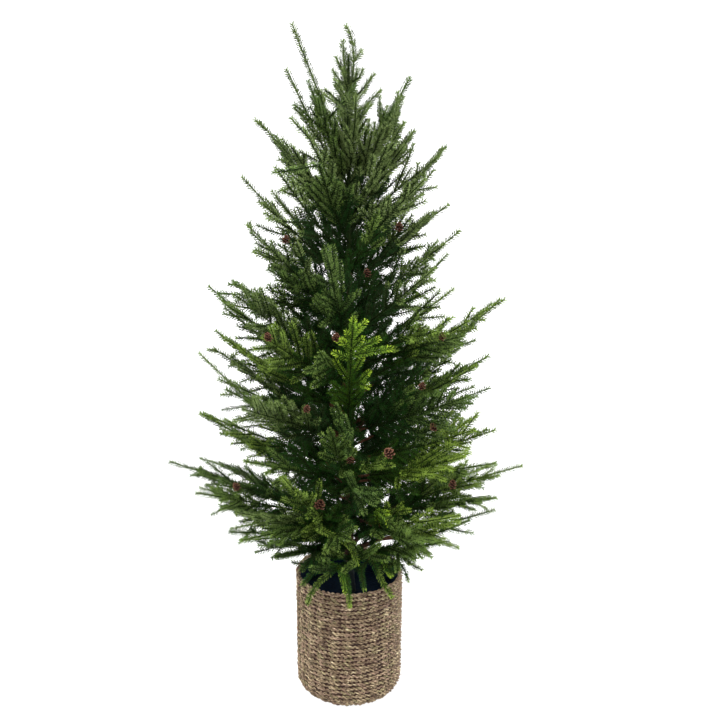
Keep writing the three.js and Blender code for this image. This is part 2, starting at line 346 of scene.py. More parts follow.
# ------------------------------------------------------------------ growth of the crown
# Bearings in degrees (0 = +X, 90 = +Y, 270 = front).
# Each main bough: bearing, height where it leaves the trunk, reach and height of its tip,
# the seed it grows from, and optionally how it differs: roll of its fan, lift of its middle, colour, twig length,
# the bare limb it continues (own).
BOUGHS = {
    "t9": [(189.1, 1229, 115, 1498, 31215, dict(lift=-0.02, end=150, twig=0.55, drop=(4, 7))),
           (10.7, 1173, 127, 1397, 61162, dict(end=60, lift=0.02, drop=(7, 15, 16))), (53, 1181, 139, 1342, 21885, {}),
           (194.2, 1157, 130, 1412, 1247, dict(end=115, lift=0, drop=(6, 10, 13))), (276.7, 1200, 110, 1359, 79794, {}),
           (99.1, 1199, 117, 1391, 59999, {}), (343.8, 1158, 111, 1356, 59994, {}), (221.4, 1181, 106, 1385, 46129, {})],
    "t8": [(328, 1110, 150, 1291, 20145, dict(drop=(9,))), (171.3, 1121, 189, 1307, 34549, dict(roll=30, end=62, drop=(10,))),
           (146.3, 1090, 203, 1276, 44769, dict(drop=(14, 27))),
           (361.3, 1093, 189, 1242, 67978, dict(end=70, lift=0, roll=60, drop=(7, 8, 9, 12))), (249.7, 1061, 167, 1234, 37665, {}),
           (99.6, 1062, 180, 1282, 19826, {}), (240.3, 1117, 156, 1281, 9755, {}), (40.3, 1081, 170, 1273, 31414, dict(drop=(6, 10))),
           (317.3, 1107, 146, 1311, 49017, {}), (21.8, 1036, 223, 1256, 73150, dict(keep=0.25, twig=0.7, end=88)),
           (13.5, 1032, 205, 1255, 68891, dict(keep=0.45, twig=0.7, end=87))],
    "t7": [(311.1, 1028, 220, 1205, 41554, dict(lift=0.03, drop=(3, 4, 5, 10, 16, 17, 18, 20))),
           (179.8, 983, 223, 1197, 64565, dict(end=75, roll=-20, drop=(14, 15, 16, 17, 18))), (221.5, 1026, 192, 1226, 13713, {}),
           (147.5, 995, 192, 1146, 10214, dict(drop=(12,))), (13.9, 966, 220, 1135, 46783, dict(lift=0.05, drop=(11, 21))),
           (286.5, 1000, 190, 1145, 88435, {}), (103, 956, 215, 1196, 1991, dict(drop=(8, 9, 10))),
           (44.6, 943, 216, 1163, 94173, dict(drop=(1, 22, 24))), (211.5, 1117, 146, 1215, 20512, dict(keep=0.7, twig=0.7, end=78)),
           (13.1, 1040, 183, 1207, 98414, dict(keep=0.7, twig=0.7, end=56)),
           (149.5, 974, 197, 1160, 58991, dict(keep=0.25, twig=0.7, end=99))],
    "t6": [(358.4, 901, 231, 1085, 79484, dict(drop=(4, 5, 6, 7, 8, 10, 11, 12, 14, 15, 17, 18, 20, 22, 23))),
           (197.2, 875, 218, 1106, 31433, dict(roll=35)), (160.2, 911, 226, 1069, 75825, {}),
           (72.3, 830, 239, 1086, 11779, dict(drop=(18,))),
           (259, 843, 248, 1081, 70072, dict(roll=70, drop=(4, 7, 10, 11, 14, 17, 19, 21, 24), colour=1)),
           (220.9, 902, 214, 1027, 36163, {}), (314.1, 858, 238, 1033, 81701, dict(drop=(4, 5, 8, 12, 15))),
           (131.1, 895, 231, 1062, 41345, {}), (34.5, 842, 242, 1046, 40810, dict(drop=(16, 17, 18, 22, 24, 26))),
           (27.9, 843, 251, 1019, 37664, dict(keep=0.7, twig=0.7, end=57, drop=(8,)))],
    "t5": [(261, 800, 203, 1014, 35005, dict(lift=-0.05, roll=0, colour=1)),
           (206.3, 882, 293, 976, 90475, dict(lift=0.1, keep=0.6, drop=(6, 7))),
           (180, 745, 303, 967, 21473, dict(roll=25, drop=(14, 15, 16, 18, 21, 25))), (146.2, 768, 325, 944, 83773, dict(drop=(13,))),
           (212, 740, 273, 978, 65907, dict(lift=0.03, drop=(16, 17, 18, 29, 32))),
           (348.6, 738, 331, 951, 91711, dict(roll=-30, end=85, lift=0, drop=(11, 18))),
           (36.5, 809, 303, 926, 22387, dict(drop=(7, 8, 10, 11))),
           (258.3, 781, 268, 887, 65584, dict(drop=(3, 6, 9, 12, 15, 17), colour=2)), (76.1, 704, 302, 926, 49251, {}),
           (314.2, 817, 248, 910, 71193, dict(drop=(8,))), (230.2, 740, 264, 904, 91962, dict(drop=(20,))),
           (112.8, 761, 299, 935, 5600, dict(drop=(19, 20))), (328.8, 786, 275, 892, 46266, {}),
           (173.5, 682, 275, 912, 13622, dict(keep=0.7, twig=0.7, end=65, drop=(9, 12))),
           (349.7, 798, 193, 961, 47, dict(keep=0.25, twig=0.7, end=88)), (200.5, 817, 185, 977, 26509, dict(keep=0.45, twig=0.5, end=93)),
           (17.7, 654, 361, 917, 44839, dict(keep=0.25, twig=0.5, end=72, drop=(5,))),
           (357.8, 867, 184, 966, 13944, dict(keep=0.25, twig=0.5, end=81))],
    "t4": [(272, 655, 235, 948, 41876, dict(lift=-0.07, end=42, twig=0.72, roll=4, colour=5)), (35.2, 714, 363, 830, 34123, {}),
           (33.5, 634, 313, 786, 31180, dict(drop=(30,))), (345, 655, 302, 831, 88662, {}), (208.4, 683, 292, 889, 91085, dict(drop=(20,))),
           (154.5, 676, 309, 810, 39341, dict(drop=(23, 26))), (178.6, 613, 296, 825, 55537, dict(drop=(20, 21, 23))),
           (229.2, 620, 321, 769, 89457, dict(drop=(18, 19, 24))), (320.3, 638, 310, 780, 99322, {}), (80.1, 576, 269, 785, 23282, {}),
           (270.4, 590, 297, 743, 79961, dict(drop=(3, 6, 9, 12, 15, 18), colour=1)), (130.7, 629, 312, 776, 74195, {}), (56.4, 625, 331, 792, 74848, {}),
           (143.5, 503, 463, 744, 61004, dict(keep=0.25, twig=0.5, end=87)),
           (351.6, 633, 271, 752, 95481, dict(keep=0.25, twig=0.7, end=98)),
           (337.9, 658, 283, 817, 80542, dict(keep=0.25, twig=0.5, end=81)),
           (200.9, 625, 292, 789, 41286, dict(keep=0.45, twig=0.7, end=83))],
    "t3": [(262, 480, 273, 735, 96045, dict(lift=-0.05, roll=0, colour=2)), (284, 560, 268, 660, 70481, dict(colour=3)),
           (214.5, 616, 303, 788, 39690, {}), (4.8, 603, 314, 730, 17038, dict(lift=0.02)),
           (34.1, 532, 379, 602, 7995, dict(keep=0.8, drop=(18,))), (347, 521, 321, 665, 473, dict(lift=0.02)),
           (159.7, 530, 375, 635, 75477, dict(keep=0.8, drop=(14,))), (185, 540, 329, 689, 97902, dict(lift=0.02, drop=(16, 17, 20, 23))),
           (274, 520, 300, 622, 54361, dict(drop=(3, 6, 9, 12, 15), colour=1)), (227.5, 525, 309, 654, 30756, dict(drop=(16,))), (318.5, 530, 309, 654, 79852, {}),
           (108, 541, 281, 634, 70356, {}), (129.5, 511, 335, 639, 70449, dict(drop=(20,))), (61.3, 543, 354, 641, 75452, {}),
           (331.3, 573, 299, 692, 81226, {}), (329.4, 517, 349, 630, 32784, dict(keep=0.25, twig=0.7, end=55)),
           (170.9, 472, 300, 627, 34006, dict(keep=0.45, twig=0.7, end=92)),
           (150.3, 536, 313, 706, 15874, dict(keep=0.25, twig=0.7, end=51))],
    "t2": [(242, 440, 282, 629, 24310, dict(roll=8, colour=3, drop=(17,))), (246, 400, 222, 493, 27030, dict(roll=0, colour=3, keep=0.8)),
           (183.5, 427, 400, 573, 43923, dict(end=85, lift=0.02, own=3, drop=(1, 2, 3, 11, 12, 13, 14, 15, 16, 17, 21, 27))),
           (166.9, 403, 376, 501, 31911, dict(keep=0.8, drop=(12, 13, 14, 17, 19, 20))),
           (0, 445, 392, 555, 56241, dict(end=95, lift=0.02, own=0, drop=(13, 15))), (28, 445, 395, 484, 74523, dict(keep=0.8, drop=(22,))),
           (200, 410, 349, 539, 66646, dict(drop=(6, 7, 8))), (342, 405, 331, 520, 66916, dict(drop=(22, 24))),
           (65.1, 417, 354, 534, 71712, dict(own=1)), (140.2, 468, 374, 537, 42918, dict(own=2)),
           (229.6, 440, 336, 494, 11170, dict(own=4)), (295.7, 436, 335, 515, 47545, dict(own=5)), (270, 440, 262, 500, 69342, {}),
           (108.7, 423, 278, 485, 54391, {}), (222.8, 444, 319, 539, 14109, {}), (311.1, 427, 336, 548, 75935, dict(drop=(6,)))],
    "t1": [(354.2, 373, 329, 462, 25423, dict(keep=0.6, own=2, drop=(5, 8, 10, 11))), (170.9, 384, 320, 469, 28157, dict(keep=0.7, own=5)),
           (326.8, 386, 303, 497, 14309, dict(keep=0.5)), (310.5, 399, 294, 475, 13321, dict(keep=0.35)),
           (294.4, 344, 319, 471, 38322, dict(keep=0.35, own=1)), (282, 314, 287, 499, 2106, dict(keep=0.3, drop=(1, 2, 6, 7, 8, 10))),
           (212, 380, 299, 466, 98, dict(keep=0.5, drop=(7,))), (237.4, 364, 299, 491, 3161, dict(keep=0.35, drop=(1, 3))),
           (233.3, 354, 256, 431, 62902, dict(keep=0.35, own=6)), (235.3, 341, 269, 441, 73491, dict(keep=0.3, drop=(2,))),
           (253.8, 406, 276, 437, 83357, dict(keep=0.25, drop=(1, 2, 3, 5, 6, 7))), (44, 371, 372, 480, 25047, dict(keep=0.8, own=3)),
           (148.5, 369, 376, 485, 67671, dict(keep=0.8, own=4)), (81.8, 347, 329, 488, 71782, dict(keep=0.8)),
           (168, 360, 345, 478, 53920, dict(keep=0.8)), (21.4, 338, 349, 460, 19227, dict(keep=0.8, drop=(14,))),
           (115.4, 381, 329, 444, 94653, dict(keep=0.6)), (78.4, 352, 291, 439, 74312, dict(keep=0.6)),
           (12.7, 328, 266, 323, 83695, dict(keep=0.35, twig=0.5, end=63)), (149.9, 330, 339, 319, 6692, dict(keep=0.25, twig=0.7, end=90)),
           (142.8, 358, 449, 461, 52165, dict(keep=0.25, twig=0.5, end=91))],
}
# shoots that hang over the front of the rim: limb of the lowest tier and distance out along it where each grows, then points of
# its stem, its green, and the shoots that leave it as (place along, points, green)
RIM = [
    (6, 78, [(-60, -98, 390), (-60, -118, 381), (-42, -134, 379), (-24, -146, 376), (-13, -152, 369), (-6, -153, 356), (-2, -150, 325), (1, -146, 285)], 4,
     [(.19, [(-68, -116, 386), (-46, -140, 384), (-27, -152, 381), (-14, -158, 370), (-8, -159, 360)], 5),
      (.41, [(-56, -130, 367), (-72, -130, 361), (-85, -128, 350), (-95, -124, 335), (-104, -116, 319)], 2),
      (.50, [(-46, -148, 360), (-61, -148, 348), (-73, -147, 332), (-85, -144, 310), (-92, -138, 286)], 3),
      (.58, [(-18, -150, 371), (-13, -152, 348), (-8, -148, 318)], 5)]),
    (1, 78, [(47, -96, 388), (48, -124, 384), (57, -136, 372), (64, -142, 357), (75, -142, 335), (85, -138, 317), (94, -132, 299)], 4,
     [(.15, [(70, -98, 396), (92, -110, 390), (122, -112, 379), (140, -110, 364), (159, -104, 350)], 3),
      (.20, [(72, -106, 388), (94, -110, 379), (111, -112, 371), (122, -108, 351), (131, -100, 320)], 2),
      (.28, [(62, -118, 392), (73, -128, 388), (79, -138, 375), (90, -138, 354)], 5),
      (.30, [(41, -122, 381), (30, -132, 374), (27, -138, 361), (29, -138, 341), (33, -134, 318)], 3)]),
]
# a bright shoot of the second tier that curls down in front: limb, distance, points
FRONT = [(4, 128, [(-76, -172, 488), (-46, -192, 480), (-6, -197, 460), (10, -203, 438), (16, -205, 416)], 4,
          []),
         (5, 140, [(60, -178, 522), (76, -200, 520), (82, -206, 505)], 5, [(.6, -1, 30)])]
# single shoots that stand out at the edge of the crown, by tier: root, tip and green
EDGE = {
    "t9": [(-11, 76, 1321, 36, 67, 1374, 6), (67, 88, 1304, 65, 90, 1360, 6), (-43, -42, 1287, -110, -50, 1344, 1),
           (12, -93, 1334, -31, -94, 1391, 6), (12, -83, 1319, -47, -75, 1361, 6), (-11, 72, 1313, 17, 83, 1415, 6),
           (-50, -48, 1306, 13, -43, 1379, 1), (10, -70, 1299, 44, -69, 1344, 6)],
    "t8": [(140, 4, 1202, 143, 4, 1226, 6), (93, 3, 1165, 133, 12, 1261, 6), (121, 31, 1165, 182, 15, 1175, 6),
           (-81, 13, 1197, -151, 19, 1165, 6), (-73, 11, 1188, -149, 21, 1234, 6), (-77, -136, 1281, -111, -144, 1319, 6),
           (87, -82, 1275, 95, -75, 1366, 6), (-57, -155, 1232, -146, -155, 1217, 1), (-173, 27, 1292, -195, 31, 1312, 6)],
    "t7": [(71, 18, 1025, 154, -1, 1054, 6), (42, 36, 990, 138, 32, 971, 2), (-148, 0, 1115, -191, 2, 1148, 6),
           (-68, -60, 1110, -167, -60, 1118, 6), (116, 29, 1063, 170, 25, 1121, 6), (137, 35, 1080, 135, 31, 1104, 6),
           (67, 59, 1023, 165, 51, 1046, 2)],
    "t6": [(-146, 167, 1054, -212, 167, 1077, 0), (138, -142, 1001, 171, -141, 1005, 6), (90, 66, 927, 134, 73, 1012, 2),
           (177, 123, 1021, 195, 137, 999, 2), (136, -10, 1007, 149, -5, 1031, 6), (140, 75, 943, 172, 71, 926, 2),
           (-92, 98, 986, -178, 107, 998, 0), (163, 87, 963, 177, 91, 1043, 2), (-138, -43, 1027, -198, -47, 1047, 6),
           (-213, 77, 1069, -220, 87, 1093, 1)],
    "t5": [(208, 64, 803, 282, 47, 836, 2), (-165, 0, 852, -248, -1, 852, 2), (151, 115, 872, 218, 107, 877, 3),
           (-222, 0, 896, -270, -11, 909, 2), (159, -161, 901, 205, -168, 935, 3), (-259, 175, 936, -282, 172, 939, 1),
           (253, 79, 840, 319, 79, 913, 2), (155, -27, 925, 188, -34, 928, 6), (-159, -59, 963, -166, -58, 980, 2),
           (-182, -87, 959, -194, -89, 976, 1), (-121, -57, 939, -208, -53, 919, 1), (260, -56, 908, 287, -59, 905, 3),
           (-211, -102, 967, -233, -99, 953, 1)],
    "t4": [(-176, 9, 740, -280, -7, 724, 6), (-289, 8, 820, -310, 6, 824, 6), (-167, 195, 747, -262, 182, 698, 0),
           (188, -158, 747, 261, -144, 763, 1), (219, 139, 761, 248, 139, 757, 2), (-186, 217, 762, -292, 200, 732, 0),
           (222, -56, 783, 250, -50, 804, 2), (-279, 133, 810, -307, 136, 833, 2), (-264, 8, 803, -248, 7, 814, 6),
           (203, -51, 770, 261, -38, 769, 2), (-197, 229, 770, -246, 222, 768, 0), (-205, 9, 761, -221, 3, 753, 6),
           (-236, 110, 786, -258, 118, 789, 2), (208, 131, 754, 239, 130, 769, 2), (155, 93, 723, 207, 87, 759, 2),
           (4, -173, 858, 86, -157, 869, 5), (4, -183, 872, 61, -166, 892, 5), (5, -192, 885, -24, -179, 891, 5),
           (3, -167, 849, -31, -152, 859, 5), (6, -207, 907, 33, -188, 933, 5), (1, -116, 782, 47, -101, 790, 1),
           (1, -83, 741, 53, -73, 733, 1)],
    "t3": [(-194, 239, 627, -313, 235, 611, 0), (-147, 188, 597, -255, 181, 584, 0), (-263, 96, 598, -302, 103, 594, 1),
           (193, -164, 626, 249, -159, 644, 4), (258, -64, 642, 300, -57, 662, 3), (235, -131, 677, 268, -127, 723, 4)],
    "t2": [(-215, 32, 475, -319, 33, 421, 1), (226, -1, 502, 316, 5, 448, 3), (-241, 216, 523, -271, 210, 515, 2),
           (-208, 198, 513, -251, 199, 498, 2), (-350, 78, 499, -370, 76, 500, 1), (266, -1, 516, 289, 0, 534, 3),
           (157, -1, 475, 273, -11, 486, 3), (-178, -30, 470, -291, -30, 471, 2)],
    "t1": [(-12, -95, 355, -124, -94, 362, 1), (-130, -191, 454, -192, -183, 447, 1), (-358, 271, 461, -379, 270, 467, 1),
           (-278, 227, 446, -301, 232, 440, 1), (-204, 179, 427, -291, 180, 486, 1), (302, 125, 454, 324, 120, 449, 2),
           (-279, 40, 459, -343, 29, 542, 6), (148, -173, 440, 175, -166, 412, 2), (92, -150, 420, 139, -141, 388, 2),
           (212, 33, 349, 233, 25, 356, 3), (-224, 146, 346, -273, 144, 292, 2)],
}
# of the shoots below, the ones left out
GAPS = (0, 3, 5, 6, 8, 9, 10, 11, 14, 15, 18, 19, 20, 22, 25, 27, 63, 68, 108, 129)
# the leader and its lower twin, as points up their stems
LEADER = [(-1, -1, 1316), (1, -3, 1346), (4, -4, 1379), (9, -4, 1427), (5, -4, 1470), (-7, -3, 1496)]
SECOND = [(-1.5, .8, 1368), (-6, -1, 1392), (-10, -2, 1424), (-13, -3, 1468)]
# short shoots beside them: root x, z and tip x, z
SHOOTS = [(-8, 1401, -27, 1437), (-4, 1371, -32, 1409), (11, 1428, 24, 1448), (12, 1387, 27, 1411),
          (6, 1352, 49, 1401), (4, 1318, 62, 1370), (-2, 1338, -49, 1372)]


class Twig:
    """line: points; r0, r1: stem radii; bare: length without needles; colour: green of its spray; needle: their length"""
    __slots__ = ("line", "r0", "r1", "bare", "tier", "colour", "needle", "main", "frond")

    def __init__(self, line, r0, r1, bare, tier, colour, needle, main, frond):
        self.line, self.r0, self.r1, self.bare = line, r0, r1, bare
        self.tier, self.colour, self.needle, self.main, self.frond = tier, colour, needle, main, frond


def side_twig(twigs, rng, p, t, lateral, L, angle, tier, colour, fid, curl=.22, sub=True):
    d = unit(t * np.cos(angle) + lateral * np.sin(angle))
    end_dir = unit(d + t * curl * 2 + UP * rng.normal(.05, .08))
    mid = p + d * L * .5
    end = mid + end_dir * L * .5
    line = curve((p, mid, end))
    twigs.append(Twig(line, 1.9, 1.1, 1.0, tier, colour, rng.uniform(8.3, 9.3), False, fid))
    if sub and L > 78:
        for k, f in enumerate((.38, .62)[: 1 + (L > 96)]):
            q, u = at(line, f * L)
            side = unit(np.cross(u, np.cross(lateral, u)) * (-1 if k % 2 else 1) + rng.normal(0, .25, 3))
            side = unit(side - u * (side @ u))
            side_twig(twigs, rng, q, u, side, L * rng.uniform(.34, .46), np.radians(rng.uniform(34, 46)), tier, colour, fid, sub=False)


def spray(twigs, rng, line, tier, colour, opts, fid):
    """Twigs in two ranks along a bough, a few more above it, longest a third of the way out."""
    L = lengths(line)[-1]
    upper = list(BOUGHS).index(tier) <= 3
    end = opts.get("end", rng.uniform(40, 72))
    bare = L * (.08 if upper else .12)
    longest = min(118, (.33 if upper else .34) * L + 10) * opts.get("twig", 1.0) * rng.uniform(.72, 1.1)
    roll = np.radians(opts.get("roll", rng.normal(0, 38)))
    wave = np.radians(rng.normal(0, 16))
    spread = rng.uniform(28, 38) if upper else rng.uniform(29, 42)
    step = rng.uniform(28, 38)
    fall = rng.uniform(.5, .8)
    keep = opts.get("keep", 1.0)
    skip = np.clip([rng.uniform(-.1, .22), rng.uniform(-.1, .22)], 0, 1)
    s = bare + rng.uniform(2, 14)
    i = 0
    while s < L - end:
        p, t = at(line, s)
        flat = unit(np.cross(t, UP))
        u = (s - bare) / max(L - end - bare, 1)
        size = longest * (.70 + .30 * np.sin(min(u / .32, 1) * np.pi / 2)) * (1 - fall * max(0, (u - .32) / .68) ** 1.1)
        for k, sign in enumerate((1, -1)):
            if rng.random() > (1 - skip[k]) * keep:
                continue
            turn = roll + wave * np.sin(i * 1.7) + np.radians(rng.normal(0, 15))
            lateral = rotate(flat * sign, t, turn)
            q, v = at(line, s + (0 if sign > 0 else rng.uniform(4, 12)))
            side_twig(twigs, rng, q, v, lateral, max(26, size * rng.uniform(.82, 1.1)),
                      np.radians(spread + rng.uniform(-4, 5)), tier, colour, fid, sub=u < .45)
        if i % 3 == 1 and u < .8 and rng.random() < keep:
            lateral = rotate(flat, t, roll + np.radians(90 + rng.normal(0, 18)))
            side_twig(twigs, rng, p, t, lateral if lateral[2] > 0 or rng.random() < .35 else -lateral, max(26, size * rng.uniform(.5, .72)),
                      np.radians(rng.uniform(38, 50)), tier, colour, fid)
        s += step * rng.uniform(.88, 1.12)
        i += 1


def shade(rng, bearing, z):
    """Green of a spray: greyer at the top and on the left, yellower low on the right."""
    lean = .55 * np.cos(np.radians(bearing + 20)) + rng.normal(0, .75)
    grey = lean * 7.3 % 1
    if z > 1180:
        return 6 if rng.random() < .85 else 1
    if z > 960:
        return 6 if grey < .5 else int(np.clip(round(1.4 + .8 * lean), 0, 3))
    return 6 if grey < .35 and np.cos(np.radians(bearing)) < -.2 else int(np.clip(round(1.9 + lean), 0, 4))


def bough(tier, row, frond):
    """One main bough with its twigs, grown from its own seed."""
    bearing, za, reach, zt, seed, opts = row
    rng = np.random.default_rng([7, seed])
    twigs = []
    a = np.radians(bearing)
    out = np.array([np.cos(a), np.sin(a), 0])
    p2 = out * reach + UP * zt
    side = unit(np.cross(out, UP))
    lift = rng.uniform(-.07, .025)
    lift = opts.get("lift", lift)
    sway = rng.normal(0, .025)
    colour = opts.get("colour", shade(rng, bearing, zt))
    if tier in LIMBS:
        limbs = LIMBS[tier][3]
        i = opts.get("own", int(np.argmin([abs((b[0] - bearing + 180) % 360 - 180) for b in limbs])))
        r = rng.uniform(28, 70)
        r = LIMBS[tier][1] if "own" in opts else r
        p0, q = limb_points(tier, i, np.array([r, r + 4.0]))
        along = unit(q - p0)
        L = np.linalg.norm(p2 - p0)
        p1 = p0 + (along * .5 + unit(p2 - p0) * .5) * L * .48 + UP * L * lift + side * L * sway
        r0 = 4.0 if "own" in opts else 3.0
    else:
        c = trunk_centre(za)
        p0 = c + out * (trunk_r(za) - 1)
        L = np.linalg.norm(p2 - p0)
        p1 = p0 * .5 + p2 * .5 + UP * L * lift + side * L * sway
        r0 = 3.1 if zt < 1000 else 2.5
    line = curve((p0, p1, p2))
    twigs.append(Twig(line, r0, 1.2, L * (.14 if zt < 900 else .06), tier, colour, rng.uniform(8.3, 9.3), True, frond))
    spray(twigs, rng, line, tier, colour, opts, frond)
    return [w for k, w in enumerate(twigs) if k not in opts.get("drop", ())]


def grow(seed=7448):
    twigs = []
    frond = 0
    for tier, rows in BOUGHS.items():
        for row in rows:
            twigs += bough(tier, row, frond)
            frond += 1
    shoots = rest(seed, frond, twigs)
    # each shoot starts on the stem nearest to its root
    stems = [resample(w.line, 2)[0] for w in twigs + [w for w in shoots if w.main]]
    stems += [limb_points(tier, i, np.arange(10., LIMBS[tier][1] + 9, 2.)) for tier in LIMBS for i in range(len(LIMBS[tier][3]))]
    stems = np.vstack(stems)
    for w in shoots:
        root = w.line[0]
        off = np.linalg.norm(stems - root, axis=1)
        if w.main or not 3 < off.min() < 12 or np.linalg.norm((root - trunk_centre(root[2]))[:2]) < trunk_r(root[2]) + 2:
            continue
        w.line = np.vstack([stems[off.argmin()], w.line])
        w.bare += off.min()
    return twigs + shoots


def rest(seed, frond, grown):
    """The shoots over the rim, the dark twigs along limbs and trunk, and the leader."""
    rng = np.random.default_rng(seed)
    twigs = []
    for tier, rows in (("t1", RIM), ("t2", FRONT)):
        for limb, r, points, colour, own in rows:
            root = limb_points(tier, limb, np.array([float(r)]))
            if r > LIMBS[tier][1]:
                # past the bare limb it grows from the needled stem that continues it
                stem = np.vstack([resample(w.line, 3)[0] for w in grown if w.main and w.tier == tier])
                root = stem[[int(np.argmin(np.linalg.norm(stem - root, axis=1)))]]
            line = smooth(np.vstack([root, np.array(points, float)]))
            twigs.append(Twig(line, 2.2, 1.1, lengths(line)[-1] * .12, tier, colour, 8.4, True, frond))
            for place in own:
                p, t = at(line, place[0] * lengths(line)[-1])
                if np.ndim(place[1]):
                    twigs.append(Twig(smooth(np.vstack([p, np.array(place[1], float)])), 1.9, 1.1, 2.0, tier, place[2], 8.2, True, frond))
                else:
                    side_twig(twigs, rng, p, t, unit(np.cross(t, UP) + UP * rng.normal(0, .3)) * place[1], place[2],
                              np.radians(rng.uniform(34, 44)), tier, colour, frond, sub=False)
            frond += 1
    rim, twigs = twigs, []
    rng = np.random.default_rng([seed, 2])
    # short dark twigs along the bare limbs
    for tier, (attach, start, bow, rows) in LIMBS.items():
        for i in range(len(rows)):
            for j, r in enumerate(np.arange(24., start + 34, 9.0)):
                p, q = limb_points(tier, i, np.array([r, r + 4.]))
                t = unit(q - p)
                o = rotate(unit(np.cross(t, UP)), t, np.radians(137.5 * j + 60 * i) + rng.normal(0, .2))
                side_twig(twigs, rng, p + o * 2.5, t, o, rng.uniform(54, 92), np.radians(rng.uniform(32, 52)), tier, int(rng.integers(0, 3)), frond, sub=False)
            frond += 1
    z = np.linspace(1222, 1438, 30)
    twigs.append(Twig(trunk_centre(z), 4.1, 2.2, 2, "top", 6, 8.2, True, frond))
    twigs.append(Twig(smooth(np.array(SECOND, float)), 2.2, 1.2, 3, "top", 6, 9.2, True, frond))
    twigs.append(Twig(smooth(np.array(LEADER, float)), 2.4, 1.2, 3, "top", 6, 9.4, True, frond))
    for x0, z0, x1, z1 in SHOOTS:
        p, q = np.array([x0, -3., z0]), np.array([x1, rng.uniform(-22, 14), z1])
        bend = unit(np.cross(q - p, np.array([0, 1., 0]))) * (3 if x1 > x0 else -3)
        twigs.append(Twig(curve((p, (p + q) / 2 - bend, q)), 1.9, 1.1, 1, "top", 6, 8.8, False, frond))
    for i in range(15):
        z = 1222 + 11.5 * i
        a = np.radians(137.5 * i + 250 + rng.normal(0, 12))
        if np.cos(a) > .8 and z > 1300:
            continue
        side_twig(twigs, rng, trunk_centre(z) + np.array([np.cos(a) * 2, np.sin(a) * 2, 0]), UP, np.array([np.cos(a), np.sin(a), 0]),
                  rng.uniform(58, 74) - i * 1.6, np.radians(rng.uniform(26, 38)), "top", 6, frond, sub=False)
    # short fill between the boughs, straight from the trunk
    for i, z in enumerate(np.arange(340, 1215, FILL_STEP)):
        a = np.radians(137.5 * i + rng.normal(0, 14))
        o = np.array([np.cos(a), np.sin(a), 0])
        t = (max(z, 455) - 455) / 760
        tier = "t%d" % (1 + int(np.searchsorted([400, 500, 600, 700, 830, 940, 1050, 1160], z)))
        side_twig(twigs, rng, trunk_centre(z) + o * (trunk_r(z) - 1), UP, o, rng.uniform(96, 150) * (1 - .45 * t),
                  np.radians(rng.uniform(34, 64)), tier, 6 if z > 1100 else int(rng.integers(0, 3)), frond)
    twigs = rim + [w for k, w in enumerate(twigs) if k not in GAPS]
    for tier, rows in EDGE.items():
        for x0, y0, z0, x1, y1, z1, colour in rows:
            p, q = np.array([x0, y0, z0], float), np.array([x1, y1, z1], float)
            twigs.append(Twig(curve((p, (p + q) / 2 - UP * np.linalg.norm(q - p) * rng.uniform(-.02, .07), q)), 1.9, 1.1, 1.0, tier, colour, 8.8, False, frond))
    return twigs


